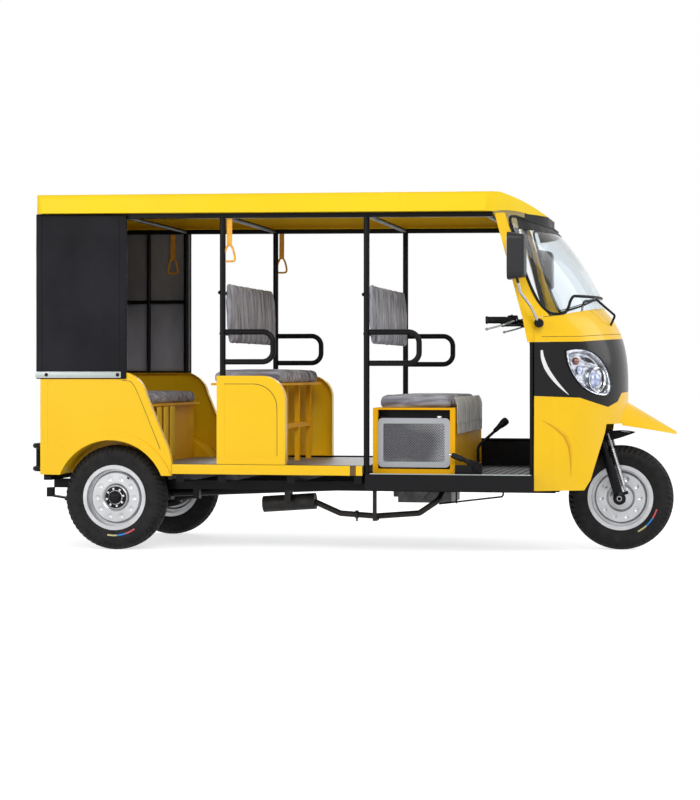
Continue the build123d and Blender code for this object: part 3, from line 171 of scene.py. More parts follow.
def noise_of(made, scale, detail=3.0, stretch=(1, 1, 1), distortion=0.0):
    """A noise texture on the object's own coordinates, stretched."""
    tree = made.node_tree
    mapping = node_of(tree, "Mapping", Scale=stretch)
    texture = node_of(tree, "TexNoise", Scale=scale, Detail=detail, Distortion=distortion)
    tree.links.new(node_of(tree, "TexCoord").outputs["Object"], mapping.inputs["Vector"])
    tree.links.new(mapping.outputs[0], texture.inputs["Vector"])
    return texture.outputs["Fac"]


def ramp(made, fac, socket, stops):
    """Colours or plain values over a factor, on one of the shader's sockets; stops are (place, value)."""
    node = node_of(made.node_tree, "ValToRGB")
    while len(node.color_ramp.elements) < len(stops):
        node.color_ramp.elements.new(0.5)
    for element, (place, value) in zip(node.color_ramp.elements, stops):
        element.position = place
        element.color = (*value, 1) if isinstance(value, tuple) else (value, value, value, 1)
    made.node_tree.links.new(fac, node.inputs["Fac"])
    made.node_tree.links.new(node.outputs["Color"], shader_of(made).inputs[socket])


def bump(made, heights, distance):
    """Bumps from one or more (height output, strength) pairs, chained."""
    links = made.node_tree.links
    into = shader_of(made).inputs["Normal"]
    for height, strength in reversed(heights):
        node = node_of(made.node_tree, "Bump", Strength=strength, Distance=distance)
        links.new(height, node.inputs["Height"])
        links.new(node.outputs["Normal"], into)
        into = node.inputs["Normal"]


def look(name, color, rough=0.5, tinted=None, glossed=None, bumped=None, **plain):
    """A material that varies by noise; each variation is the noise's arguments, then its values."""
    made = material(name, color, rough, **plain)
    if tinted:
        ramp(made, noise_of(made, *tinted[0]), "Base Color", tinted[1:])
    if glossed:
        ramp(made, noise_of(made, *glossed[0]), "Roughness", [(0.3, glossed[1]), (0.7, glossed[2])])
    if bumped:
        bump(made, [(noise_of(made, *bumped[0]), bumped[1])], bumped[2])
    return made


def paint(name, color, rough=0.3, coat=0.2, specular=0.25):
    """Sprayed paint: slight mottle, orange peel and dust in the gloss."""
    darker = tuple(c * 0.95 for c in color)
    return look(
        name, color, rough, ((2.4, 4.0), (0.3, darker), (0.7, color)), ((9.0, 5.0), rough * 0.85, rough * 1.25),
        ((420.0, 1.0), 0.02, 0.0006), coat=coat, coat_rough=0.05, specular=specular,
    )


def zones(made, axis, edge, **finishes):
    """Two finishes on one body, either side of a plane across one axis: color, metal or rough pairs."""
    tree = made.node_tree
    parts = node_of(tree, "SeparateXYZ")
    share = node_of(tree, "MapRange")
    share.inputs["From Min"].default_value = edge - 0.0005
    share.inputs["From Max"].default_value = edge + 0.0005
    tree.links.new(node_of(tree, "TexCoord").outputs["Object"], parts.inputs[0])
    tree.links.new(parts.outputs[axis], share.inputs["Value"])
    sockets = {"color": "Base Color", "metal": "Metallic", "rough": "Roughness"}
    for finish, (below, above) in finishes.items():
        ramp(made, share.outputs[0], sockets[finish], [(0.0, below), (1.0, above)])


# ---- materials
yellow = paint("body_yellow", (0.93, 0.56, 0.004))
roof_yellow = paint("roof_yellow", (0.9, 0.62, 0.008), 0.5, 0.04, 0.2)
seat_yellow = paint("seat_box_yellow", (0.86, 0.43, 0.006), 0.55, 0.0, 0.08)
slat_yellow = paint("slat_yellow", (0.9, 0.6, 0.03), 0.6, 0.0, 0.1)
black = paint("frame_black", (0.005, 0.005, 0.006), 0.36, 0.03, 0.11)
mark_straw = paint("mark_straw", (0.55, 0.5, 0.22), 0.5, 0.0)
mark_blue = paint("mark_blue", (0.03, 0.22, 0.6), 0.5, 0.0)
mark_red = paint("mark_red", (0.62, 0.1, 0.12), 0.5, 0.0)
# darker yellows, laid as bands over the apron: painted shade of its moulded crease
crease_painted_shade = paint("crease_painted_shade", (0.66, 0.33, 0.003))
crease_painted_half_shade = paint("crease_painted_half_shade", (0.84, 0.47, 0.004))
# dark brown: painted shade laid along the pressed grooves and the cowl groove, and the dark joint of the sill cover
groove_shade_and_joint_brown = look(
    "groove_shade_and_joint_brown", (0.1, 0.05, 0.004), 0.5, ((12.0, 2.0), (0.3, (0.07, 0.035, 0.003)), (0.7, (0.14, 0.07, 0.005))),
)

plastic = look(
    "moulded_black", (0.007, 0.007, 0.008), 0.45, None, ((14.0, 4.0), 0.36, 0.54),
    ((900.0, 2.0), 0.12, 0.0004), specular=0.13,
)
mask_black = look(
    "mask_black", (0.006, 0.006, 0.007), 0.14, None, ((6.0, 4.0), 0.2, 0.3), ((300.0, 1.0), 0.03, 0.0005),
    coat=0.2, coat_rough=0.12, specular=0.15,
)
rubber = look(
    "tyre_rubber", (0.012, 0.012, 0.013), 0.62, (
        (18.0, 5.0), (0.3, (0.009, 0.009, 0.01)), (0.75, (0.02, 0.019, 0.018)),
    ),
    ((30.0, 4.0), 0.5, 0.75), ((700.0, 3.0), 0.15, 0.0004), specular=0.15,
)
pipe_black = look(
    "exhaust_black", (0.012, 0.011, 0.011), 0.5,
    (
        (16.0, 6.0), (0.35, (0.009, 0.009, 0.009)), (0.75, (0.035, 0.028, 0.024)),
    ), ((30.0, 4.0), 0.36, 0.7), specular=0.25,
)
vinyl = look(
    "curtain_vinyl", (0.008, 0.008, 0.01), 0.55, (
        (3.0, 6.0), (0.3, (0.006, 0.006, 0.008)), (0.7, (0.014, 0.014, 0.018)),
    ),
    ((12.0, 5.0), 0.46, 0.66), ((520.0, 3.0), 0.3, 0.0006), specular=0.11,
)
pane = look(
    "curtain_lining", (0.3, 0.305, 0.36), 0.5,
    (
        (5.0, 6.0, (1, 1, 0.4)), (0.3, (0.2, 0.205, 0.25)), (0.7, (0.36, 0.365, 0.42)),
    ), ((8.0, 4.0), 0.3, 0.55), specular=0.3,
)
white_film = look("white_film", (0.8, 0.8, 0.78), 0.35, None, ((12.0, 4.0), 0.3, 0.42), coat=0.3)
strap_yellow = look(
    "strap_yellow", (0.8, 0.36, 0.02), 0.55, (
        (40.0, 4.0), (0.3, (0.72, 0.3, 0.015)), (0.7, (0.88, 0.44, 0.03)),
    ), None,
    ((900.0, 2.0, (1, 1, 0.3)), 0.4, 0.0006), sheen=0.2,
)
fringe_cloth = look(
    "seat_fringe", (0.46, 0.44, 0.41), 0.85,
    ((30.0, 5.0, (1, 1, 0.25)), (0.3, (0.3, 0.285, 0.26)), (0.65, (0.6, 0.57, 0.52))), None,
    ((1200.0, 2.0), 0.4, 0.001), sheen=0.4, specular=0.25,
)

rim_silver = look(
    "rim_silver", (0.5, 0.505, 0.515), 0.34, ((12.0, 5.0), (0.3, (0.42, 0.425, 0.44)), (0.7, (0.55, 0.555, 0.57))),
    ((40.0, 4.0), 0.28, 0.44), metal=0.7, coat=0.1,
)
alloy = look(
    "cast_alloy", (0.1, 0.1, 0.105), 0.5, (
        (14.0, 5.0), (0.3, (0.045, 0.045, 0.047)), (0.7, (0.14, 0.14, 0.145)),
    ), None,
    ((260.0, 4.0), 0.3, 0.0008), metal=0.5,
)
steel = look("bright_steel", (0.62, 0.62, 0.63), 0.2, None, ((60.0, 4.0), 0.12, 0.32), metal=1.0)
chrome = look("chrome", (0.72, 0.72, 0.73), 0.08, None, ((40.0, 3.0), 0.05, 0.14), metal=1.0)
strut_silver = look("strut_silver", (0.34, 0.34, 0.35), 0.3, None, ((50.0, 3.0), 0.22, 0.42), metal=0.9)
mirror_face = look("mirror_glass", (0.8, 0.82, 0.84), 0.02, None, ((6.0, 2.0), 0.01, 0.04), metal=1.0)
aluminium = look("bright_strip", (0.36, 0.4, 0.385), 0.38, None, ((24.0, 4.0, (0.1, 1, 1)), 0.2, 0.42), metal=0.6)
mesh_silver = look(
    "mesh_silver", (0.5, 0.5, 0.52), 0.4, (
        (3.0, 1.0), (0.4, (0.22, 0.22, 0.235)), (0.55, (0.56, 0.56, 0.58)),
    ), metal=0.4
)
reflector = look(
    "lamp_reflector", (0.66, 0.67, 0.71), 0.16,
    ((30.0, 3.0, (1, 1, 2.5)), (0.36, (0.3, 0.31, 0.35)), (0.6, (0.74, 0.75, 0.8))),
    ((60.0, 3.0), 0.1, 0.24), ((90.0, 2.0), 0.4, 0.002), metal=0.85,
)
lamp_blue = look(
    "lamp_blue", (0.3, 0.36, 0.62), 0.08, ((34.0, 2.0), (0.35, (0.2, 0.24, 0.42)), (0.65, (0.6, 0.64, 0.8))),
    ((50.0, 2.0), 0.05, 0.14), metal=0.5, coat=0.8,
)
lamp_amber = look(
    "lamp_amber", (0.22, 0.05, 0.03), 0.12, ((60.0, 2.0), (0.4, (0.13, 0.03, 0.02)), (0.65, (0.32, 0.07, 0.03))),
    ((50.0, 2.0), 0.08, 0.2), coat=0.8,
)

see_through = ("Transmission Weight", 1.0)
glass = material(
    "screen_glass", (0.86, 0.91, 0.94), 0.02, coat=0.3, coat_rough=0.02, extra=(see_through, ("IOR", 1.15)),
)
lens = material("lamp_lens", (0.93, 0.96, 1.0), 0.03, coat=0.6, coat_rough=0.02, extra=(see_through, ("IOR", 1.05)))

# bodies of two finishes: the passenger deck is bare plate and the lower cab floor is painted black
deck = look("deck_plate", (0.2, 0.205, 0.21), 0.5, bumped=((160.0, 3.0), 0.15, 0.0008), specular=0.3)
zones(deck, "X", 0.122, color=((0.21, 0.215, 0.22), (0.008, 0.008, 0.009)), metal=(0.6, 0.0), rough=(0.45, 0.5))
red_lens = look("red_lens", (0.5, 0.012, 0.01), 0.14, bumped=((160.0, 1.0, (1, 1, 0.1)), 0.3, 0.001), coat=0.6)
zones(red_lens, "Z", 0.742, color=((0.42, 0.008, 0.008), (0.75, 0.22, 0.01)))
mirror_body = material("mirror_body", (0.01, 0.01, 0.012), 0.4, specular=0.25)
zones(
    mirror_body, "Z", 1.352, color=((0.36, 0.36, 0.38), (0.016, 0.016, 0.018)), metal=(1.0, 0.0), rough=(0.2, 0.42),
)
core_metal = material("radiator_metal", (0.5, 0.5, 0.52), 0.4, specular=0.4)
zones(
    core_metal, "Y", -0.4892, color=((0.36, 0.365, 0.385), (0.03, 0.03, 0.034)), metal=(0.5, 0.3),
    rough=(0.36, 0.6),
)


def plush_of(name, stretch):
    """Lilac grey pile, with strokes where it is brushed the other way."""
    made = material(name, (0.3, 0.295, 0.33), 0.85, sheen=0.5, specular=0.3, extra=(("Sheen Roughness", 0.35),))
    strokes = noise_of(made, 24.0, 7.0, stretch, 0.7)
    tones = [(0.3, (0.085, 0.083, 0.1)), (0.48, (0.23, 0.225, 0.26)), (0.68, (0.46, 0.45, 0.5))]
    ramp(made, strokes, "Base Color", tones)
    bump(made, [(noise_of(made, 1400.0, 2.0), 0.36), (strokes, 0.6)], 0.002)
    return made


plush = plush_of("seat_plush", (1.0, 1.0, 0.16))
plush_flat = plush_of("seat_plush_flat", (0.2, 1.0, 1.0))

# ---- floor
ground = material("floor", (0.8, 0.8, 0.8), 1.0, specular=0.0)
tree = ground.node_tree
glow = node_of(tree, "Emission", Strength=0.66)
plain = node_of(tree, "BsdfDiffuse", Color=(0.7, 0.7, 0.7, 1))
pale = shaders_joined(tree, "AddShader", shader_of(ground).outputs[0], glow.outputs[0])
seen_directly = any_ray(tree, "Is Camera Ray", "Is Glossy Ray")
ground_look = shaders_joined(tree, "MixShader", seen_directly, plain.outputs[0], pale)
tree.links.new(ground_look, tree.nodes["Material Output"].inputs["Surface"])
bpy.ops.mesh.primitive_plane_add(size=120, location=(0, 0, -0.0005))
floor = bpy.context.object
floor.name = "floor"
floor.data.materials.append(ground)
floor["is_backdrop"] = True

# ---- materials of the carried-over nodes
finish_of = (
    (
        yellow,
        "a_pillars front_apron front_cowl front_mudguard mid_panels rear_panel rear_quarter_left rear_quarter_right",
    ),
    (black, "armrests backrest_frames brake_rod cab_frame canopy_frame chassis_frame fork handlebar leaf_springs"),
    (black, "rear_axle rear_bumper side_board side_sills steering_head"),
    (plastic, "cab_skirts dash_panel driver_controls fork_guard wiper"),
    (seat_yellow, "driver_seat_box middle_seat_base rear_seat_base"),
    (rim_silver, "rim_front rim_rear_left rim_rear_right"),
    (roof_yellow, "roof_cap roof_panel"),
    (alloy, "engine"),
    (pipe_black, "exhaust"),
    (deck, "floor_deck"),
    (strut_silver, "fork_struts"),
    (lens, "headlamps"),
    (mask_black, "lamp_mask"),
    (mirror_body, "mirrors"),
    (core_metal, "radiator"),
    (red_lens, "tail_lamps"),
    (glass, "windscreen"),
)
for made, node_names in finish_of:
    for node_name in node_names.split():
        for place in nodes[node_name].material_slots:
            place.material = made


# ---- mesh helpers
def new_mesh(name, points, faces, made, smooth=True):
    """A mesh object from points and faces, with one material."""
    data = bpy.data.meshes.new(name)
    data.from_pydata([tuple(p) for p in points], [], faces)
    data.materials.append(made)
    data.polygons.foreach_set("use_smooth", [smooth] * len(data.polygons))
    data.update()
    return placed(name, data)


def grid_mesh(name, across, along, place, made):
    """A grid of across by along points; place(u, v) gives each point."""
    points = [place(i / (across - 1), j / (along - 1)) for j in range(along) for i in range(across)]
    corners = [j * across + i for j in range(along - 1) for i in range(across - 1)]
    return new_mesh(name, points, [(a, a + 1, a + across + 1, a + across) for a in corners], made)


def tube(name, points, radius, made, closed=False, sides=6, smooth_line=True):
    """A round tube along points, as a mesh."""
    line = bpy.data.curves.new(name, "CURVE")
    line.dimensions = "3D"
    line.bevel_depth = radius
    line.bevel_resolution = max(1, sides // 2 - 1)
    line.use_fill_caps = True
    spline = line.splines.new("NURBS" if smooth_line else "POLY")
    spline.points.add(len(points) - 1)
    for point, place in zip(spline.points, points):
        point.co = (*place, 1)
    if smooth_line:
        spline.order_u = 3
        spline.use_endpoint_u = not closed
    spline.use_cyclic_u = closed
    spline.resolution_u = 6
    helper = placed(name + "_line", line)
    bpy.context.view_layer.update()
    data = bpy.data.meshes.new_from_object(helper.evaluated_get(bpy.context.evaluated_depsgraph_get()))
    data.name = name
    bpy.data.objects.remove(helper)
    data.materials.clear()
    data.materials.append(made)
    return set_smooth(placed(name, data))


def join(name, parts):
    """Joins mesh objects into one piece, materials kept."""
    bpy.ops.object.select_all(action="DESELECT")
    for part in parts:
        part.select_set(True)
    bpy.context.view_layer.objects.active = parts[0]
    bpy.ops.object.join()
    parts[0].name = name
    parts[0].data.name = name
    return parts[0]


def apply_modifiers(piece):
    bpy.context.view_layer.update()
    done = bpy.data.meshes.new_from_object(piece.evaluated_get(bpy.context.evaluated_depsgraph_get()))
    piece.modifiers.clear()
    piece.data = done
    return piece


def set_smooth(piece):
    piece.data.polygons.foreach_set("use_smooth", [True] * len(piece.data.polygons))
    return piece


def thicken(piece, thickness, offset=0.0):
    """Gives a surface a thickness, centred on it unless an offset is given."""
    solid = piece.modifiers.new("thick", "SOLIDIFY")
    solid.thickness = thickness
    solid.offset = offset
    return apply_modifiers(piece)


def from_bmesh(name, bm, made):
    """An object from a bmesh, which is used up."""
    data = bpy.data.meshes.new(name)
    bm.to_mesh(data)
    bm.free()
    data.materials.append(made)
    return placed(name, data)


def ring_faces(count, rings):
    """Faces between closed rings of count points each."""
    return [
        (k * count + i, k * count + (i + 1) % count, (k + 1) * count + (i + 1) % count, (k + 1) * count + i)
        for k in range(rings - 1) for i in range(count)
    ]


def spread(low, high, count):
    return [low + (high - low) * i / (count - 1) for i in range(count)]


def on_line(line, place):
    """The second value of a line of pairs, at a place along the first."""
    return float(np.interp(place, *zip(*line)))


def finish_mesh(piece, crease=38):
    """Welds doubled points, turns faces outward and keeps sharp edges sharp."""
    bm = bmesh.new()
    bm.from_mesh(piece.data)
    bmesh.ops.remove_doubles(bm, verts=bm.verts, dist=1e-6)
    bmesh.ops.recalc_face_normals(bm, faces=bm.faces)
    for edge in bm.edges:
        if len(edge.link_faces) == 2 and edge.calc_face_angle(0.0) > math.radians(crease):
            edge.smooth = False
    bm.to_mesh(piece.data)
    bm.free()
    return piece


def turned(name, profile, base, direction, made, steps=32):
    """A turned form: profile gives (along, radius) from base in the given direction."""
    axis = Vector(direction).normalized()
    side = axis.orthogonal().normalized()
    other = axis.cross(side)
    points, faces = [], []
    rows = len(profile)
    for i in range(steps):
        turn = 2 * math.pi * i / steps
        ray = side * math.cos(turn) + other * math.sin(turn)
        points += [Vector(base) + axis * run + ray * radius for run, radius in profile]
    for i in range(steps):
        for k in range(rows - 1):
            a, b = i * rows + k, ((i + 1) % steps) * rows + k
            faces.append((a, a + 1, b + 1, b))
    return finish_mesh(new_mesh(name, points, faces, made))


def ribbon(name, near, far, made, thick):
    """A band between two lines of points, given a thickness."""
    count = len(near)
    faces = [(i, i + 1, count + i + 1, count + i) for i in range(count - 1)]
    piece = new_mesh(name, [*near, *far], faces, made)
    return finish_mesh(thicken(piece, thick))


def bar(name, low, high, made, edge=0.002):
    """A straight bar or plate with eased edges."""
    bm = bmesh.new()
    bmesh.ops.create_cube(bm, size=1.0)
    for vert in bm.verts:
        vert.co = [low[k] + (high[k] - low[k]) * (vert.co[k] + 0.5) for k in range(3)]
    bmesh.ops.bevel(bm, geom=bm.edges[:], offset=edge, segments=2, affect="EDGES", profile=0.7)
    return finish_mesh(set_smooth(from_bmesh(name, bm, made)))


def put(piece, body="chassis", stands_for=None):
    """Gives a piece its body, and hides the node that it stands for."""
    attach(piece, body)
    if stands_for:
        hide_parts(stands_for)
    return piece


def surface_tree(node):
    data = nodes[node].data
    return BVHTree.FromPolygons([v.co.copy() for v in data.vertices], [tuple(p.vertices) for p in data.polygons])





# ---- tyres
tread_depth = 0.006
shoulder_radius = 0.2375
pitches = 58
columns = 8
# half width and radius of the carcass from bead to crown
tyre_profile = [
    (0.044, 0.156), (0.047, 0.166), (0.049, 0.171), (0.0505, 0.175), (0.054, 0.183),
    (0.0575, 0.194), (0.0597, 0.206), (0.06, 0.2075), (0.0608, 0.209), (0.061, 0.218),
    (0.0602, 0.226), (0.059, 0.233), (0.0572, 0.24), (0.0545, 0.247), (0.05, 0.254),
    (0.044, 0.26), (0.037, 0.2645), (0.03, 0.267), (0.027, 0.268), (0.024, 0.2685),
    (0.021, 0.269), (0.015, 0.2696), (0.0075, 0.2699), (0.004, 0.27), (0.0, 0.27),
]


def pressed(distance, half, slope):
    """1 within half of a groove's middle, falling to 0 over its slope."""
    return 1.0 - min(1.0, max(0.0, (distance - half) / slope))


def tread_cut(turn, side_way, radius):
    """Depth of the tread's grooves at a place on the tyre."""
    phase = turn * pitches
    wave = abs((phase % 1.0) - 0.5) * 2.0
    across = abs(side_way)
    zigzag = 0.0225 + 0.0035 * (wave - 0.5)
    centre_line = 0.0025 * (wave - 0.5) * 2
    cut = max(pressed(abs(across - zigzag), 0.0022, 0.001), pressed(abs(side_way - centre_line), 0.002, 0.001))
    if radius > shoulder_radius and across > 0.0265:
        slot = abs(((phase + (across - 0.03) * 14.0 * (1 if side_way > 0 else -1)) % 1.0) - 0.5)
        cut = max(cut, min(1.0, (radius - shoulder_radius) / 0.006) * pressed(slot, 0.17, 0.07))
    return cut * tread_depth


def build_tyre(name, centre, node, body):
    ring = tyre_profile + [(-w, r) for w, r in reversed(tyre_profile[:-1])]
    rows = len(ring)
    count = pitches * columns
    slopes = []
    for k in range(rows):
        w0, r0 = ring[max(0, k - 1)]
        w1, r1 = ring[min(rows - 1, k + 1)]
        run = math.hypot(w1 - w0, r1 - r0)
        slopes.append(((r0 - r1) / run, (w1 - w0) / run))
    points, faces = [], []
    for i in range(count):
        turn = i / count
        c, s = math.cos(2 * math.pi * turn), math.sin(2 * math.pi * turn)
        for k, (w, r) in enumerate(ring):
            depth = tread_cut(turn, w, r) if r > shoulder_radius else 0.0
            nw, nr = slopes[k]
            inward = -depth if nw * w + nr > 0 else depth
            width, radius = w + nw * inward, r + nr * inward
            points.append((centre[0] + radius * c, centre[1] + width, centre[2] + radius * s))
        for k in range(rows - 1):
            a = i * rows + k
            b = ((i + 1) % count) * rows + k
            faces.append((a, b, b + 1, a + 1))
    put(new_mesh(name, points, faces, rubber), body, node)


wheels = [
    ("front", (1.376, 0.0, 0.27), "front_wheel"),
    ("rear_right", (-1.186, -0.505, 0.27), "rear_right_wheel"),
    ("rear_left", (-1.186, 0.505, 0.27), "rear_left_wheel"),
]
for wheel, centre, body in wheels:
    build_tyre(f"treaded_tyre_{wheel}", centre, f"tyre_{wheel}", body)


# ---- upholstery
puff_frames = 14
gather_depth = 0.0042


def padded_form(name, low, high, crown, pull, made):
    """A crowned cushion between two corners, its sides pulled in between the corners."""
    bm = bmesh.new()
    bmesh.ops.create_cube(bm, size=2.0)
    bmesh.ops.subdivide_edges(bm, edges=bm.edges[:], cuts=15, use_grid_fill=True)
    for vert in bm.verts:
        x, y, z = vert.co
        rim = max(abs(x), abs(y))
        squeeze = 1 - 0.16 * max(0.0, abs(z) - 0.35) ** 2 * (1 if rim > 0.98 else 0.3)
        vert.co = (x * squeeze, y * squeeze, z)
        swell = (1 - vert.co.x ** 2) * (1 - vert.co.y ** 2)
        vert.co.z += crown * swell * (1 if z > 0 else 0.15)
        vert.co.x *= 1 - pull * (1 - y * y)
        vert.co.y *= 1 - pull * 0.5 * (1 - x * x)
    for vert in bm.verts:
        vert.co = [low[k] + (high[k] - low[k]) * (vert.co[k] + 1) / 2 for k in range(3)]
    return from_bmesh(name, bm, made)


def puff(piece, voxel, pressure, cap):
    """Fills a form by a short cloth simulation; no point moves further than cap."""
    remesh = piece.modifiers.new("remesh", "REMESH")
    remesh.mode = "VOXEL"
    remesh.voxel_size = voxel
    apply_modifiers(piece)
    start = np.array([v.co for v in piece.data.vertices])
    cloth = piece.modifiers.new("cloth", "CLOTH")
    values = {
        "quality": 4, "mass": 0.2, "tension_stiffness": 8, "compression_stiffness": 6, "bending_stiffness": 0.4,
        "use_pressure": True, "uniform_pressure_force": pressure,
    }
    for name, value in values.items():
        setattr(cloth.settings, name, value)
    cloth.settings.effector_weights.gravity = 0.0
    cloth.point_cache.frame_start = 1
    cloth.point_cache.frame_end = puff_frames
    for step in range(1, puff_frames + 1):
        bpy.context.scene.frame_set(step)
    apply_modifiers(piece)
    bpy.context.scene.frame_set(1)
    moved = np.array([v.co for v in piece.data.vertices]) - start
    length = np.linalg.norm(moved, axis=1, keepdims=True)
    moved *= np.minimum(1.0, cap / np.maximum(length, 1e-9))
    set_places(piece, start + moved)


def set_places(piece, places):
    piece.data.vertices.foreach_set("co", np.array(places).astype(np.float32).ravel())
    piece.data.update()


def ridges(value):
    """Folds of uneven width over a running length, from -1 to 1."""
    bend = value + 0.35 * noise.noise(Vector((value * 0.45, 3.1, 0.2)))
    return math.sin(bend * 2 * math.pi) * (0.65 + 0.5 * noise.noise(Vector((value * 0.8, 9.7, 4.4))))


def gather(piece, spacing, along, limits):
    """Presses gathers into a form: folds repeat over its width and run along another axis."""
    data = piece.data
    data.update()
    normals = np.zeros(len(data.vertices) * 3, np.float32)
    data.vertex_normals.foreach_get("vector", normals)
    low, high = limits
    moved = []
    for vert, normal in zip(data.vertices, normals.reshape(-1, 3)):
        co = vert.co
        run = (co[along] - low[along]) / (high[along] - low[along])
        drift = 0.5 * noise.noise(Vector((co.y * 9.0, co[along] * 6.0, 1.7)))
        fold = ridges(co.y / spacing + drift + 1.2 * noise.noise(Vector((run * 1.6, co.y * 3.0, 7.7))))
        tight = 0.35 + 0.65 * abs(2 * run - 1) ** 1.2
        fine = 0.35 * ridges(co.y / (spacing * 0.42) + 2.2 * drift)
        moved.append(co + Vector(normal) * (gather_depth * tight * (fold + fine - 0.6)))
    set_places(piece, moved)


def upholster(piece, node, voxel, pressure, cap, spacing, along, limits, room, slant=None):
    """Puffs a form, presses gathers into it, keeps it in its room and lets it stand for its node."""
    puff(piece, voxel, pressure, cap)
    piece.modifiers.new("smooth", "SUBSURF").levels = 1
    apply_modifiers(piece)
    gather(piece, spacing, along, limits)
    set_places(
        piece, np.clip(np.array([v.co for v in piece.data.vertices]), *(np.array(corner) for corner in room)),
    )
    if slant:
        foot, head, low_z, high_z = slant
        for vert in piece.data.vertices:
            vert.co.x += foot + (head - foot) * (vert.co.z - low_z) / (high_z - low_z)
    put(set_smooth(piece), stands_for=node)


cushions = [
    # name, node, fold spacing
    ("rear_seat_cover", "rear_cushion", 0.034),
    ("middle_seat_cover", "middle_cushion", 0.036),
    ("driver_seat_cover", "driver_cushion", 0.036),
]
for name, node, spacing in cushions:
    low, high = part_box(node)
    inset = 0.006
    foot, head = (low.x + inset, low.y + inset, low.z + 0.001), (high.x - inset, high.y - inset, high.z - 0.012)
    piece = padded_form(name, foot, head, 0.22, 0.012, plush_flat)
    room = (low.x - inset, low.y - inset, low.z + 0.0004), (high.x + inset, high.y + inset, high.z + 0.012)
    upholster(piece, node, 0.0085, 3.0, 0.012, spacing, 0, (low, high), room)

backrests = [
    # name, node, face x at the foot and the head, low and high z, half width, thickness
    ("rear_backrest_cover", "rear_backrest", -1.4405, -1.49, 0.752, 1.29, 0.424, 0.06),
    ("middle_backrest_cover", "middle_backrest", -0.572, -0.584, 1.055, 1.384, 0.5, 0.03),
    ("driver_backrest_cover", "driver_backrest", 0.176, 0.164, 1.05, 1.368, 0.5, 0.03),
]
for name, node, foot, head, low_z, high_z, half, thick in backrests:
    low, high = (-thick, -half, low_z), (0.0, half, high_z)
    inner = (-thick + 0.002, -half + 0.004, low_z + 0.004), (-0.006, half - 0.004, high_z - 0.004)
    piece = padded_form(name, *inner, 0.0, 0.006, plush)
    room = (-thick - 0.0002, -half - 0.004, low_z + 0.0004), (0.01, half + 0.004, high_z + 0.006)
    slant = (foot, head, low_z, high_z)
    upholster(piece, node, 0.0096, 2.0, 0.008, 0.03, 2, (low, high), room, slant)

# ---- curtains
side_low, side_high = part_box("side_curtains")


def curtain_wave(u, v, sign):
    """Slack of the hanging vinyl: long soft folds that fade at the top rail."""
    hang = 1 - v
    soft = 0.0035 * noise.noise(Vector((u * 3.2, v * 2.1, 3.0 * sign)))
    folds = 0.0022 * math.sin(u * 21 + 2.0 * noise.noise(Vector((u * 2.0, v * 1.5, 6.0)))) * (0.25 + 0.75 * hang)
    drawn = 0.0018 * math.sin(v * 26) * max(0.0, 1 - u * 9)
    return soft + folds * 0.7 + drawn


curtain_thickness = 0.0012
curtain_bottom = side_low.z + 0.001
curtain_rear, curtain_front = side_low.x + 0.001, side_high.x - 0.001
curtain_height = side_high.z - side_low.z - 0.002
curtain_width = curtain_front - curtain_rear
for side, sign in both_sides:
    face = sign * (side_high.y - 0.0018)

    def hung(u, v, sign=sign, face=face):
        x = curtain_rear + curtain_width * u
        z = curtain_bottom + (curtain_height - 0.01 * u) * v
        swing = max(-0.0004, curtain_wave(u, v, sign) * min(1.0, 0.25 + 3.0 * v) + 0.0012)
        return (x, face + sign * swing, z)

    sheet = grid_mesh(f"{side}_curtain", 61, 81, hung, vinyl)
    thicken(sheet, curtain_thickness)
    hems = []
    for k, (x0, x1) in enumerate(((curtain_front - 0.038, curtain_front), (curtain_rear, curtain_rear + 0.03))):

        def hem(u, v, x0=x0, x1=x1, hung=hung, sign=sign):
            across = (x0 + (x1 - x0) * u - curtain_rear) / curtain_width
            base = hung(across, v)
            return (base[0], base[1] + sign * 0.0012, base[2])

        strip = grid_mesh(f"{side}_curtain_hem_{k}", 5, 81, hem, vinyl)
        hems.append(thicken(strip, curtain_thickness))
    hem_piece = put(join(f"{side}_curtain_hems", hems))
    put(sheet, stands_for="side_curtains" if sign < 0 else None)

rear_low, rear_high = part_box("rear_curtain")
rear_width = rear_high.y - rear_low.y - 0.002
rear_height = rear_high.z - rear_low.z - 0.002


def hung_rear(u, v):
    y = rear_low.y + 0.001 + rear_width * u
    z = rear_low.z + 0.001 + rear_height * v
    return (rear_low.x + 0.002 + curtain_wave(u, v, 2) * 0.6, y, z)


rear_sheet = grid_mesh("rear_curtain_sheet", 81, 81, hung_rear, vinyl)
thicken(rear_sheet, curtain_thickness)
put(rear_sheet, stands_for="rear_curtain")

# ---- grab straps
strap_top, ring_top, ring_foot = 1.706, 1.56, 1.475
strap_rows = 16
strap_parts = []
for strap_x in (-0.566, -1.206):
    for sign in (-1, 1):
        y = sign * 0.575
        points, faces = [], []
        for t in spread(0, 1, strap_rows + 1):
            sway = 0.0015 * math.sin(t * 5)
            for dx, dy in ((-0.014, -0.0014), (0.014, -0.0014), (0.014, 0.0014), (-0.014, 0.0014)):
                points.append((strap_x + dx, y + dy + sway, strap_top + (ring_top - strap_top) * t))
        for j in range(strap_rows):
            for k in range(4):
                a, b = j * 4 + k, j * 4 + (k + 1) % 4
                faces.append((a, b, b + 4, a + 4))
        faces += [(3, 2, 1, 0), tuple(strap_rows * 4 + k for k in range(4))]
        strap_parts.append(new_mesh("strap_band", points, faces, strap_yellow, False))
        half_ring = [
            (0.01, ring_top + 0.004), (0.024, ring_top - 0.03), (0.03, ring_foot + 0.016),
            (0.022, ring_foot + 0.006),
        ]
        ring = [(strap_x + dx, y, z) for dx, z in half_ring] + [
            (strap_x - dx, y, z)
            for dx, z in reversed(half_ring)
        ]
        strap_parts.append(tube("strap_ring", [ring[-1], *ring[:-1]], 0.0055, strap_yellow, closed=True, sides=8))
put(join("grab_handles", strap_parts), stands_for="grab_straps")

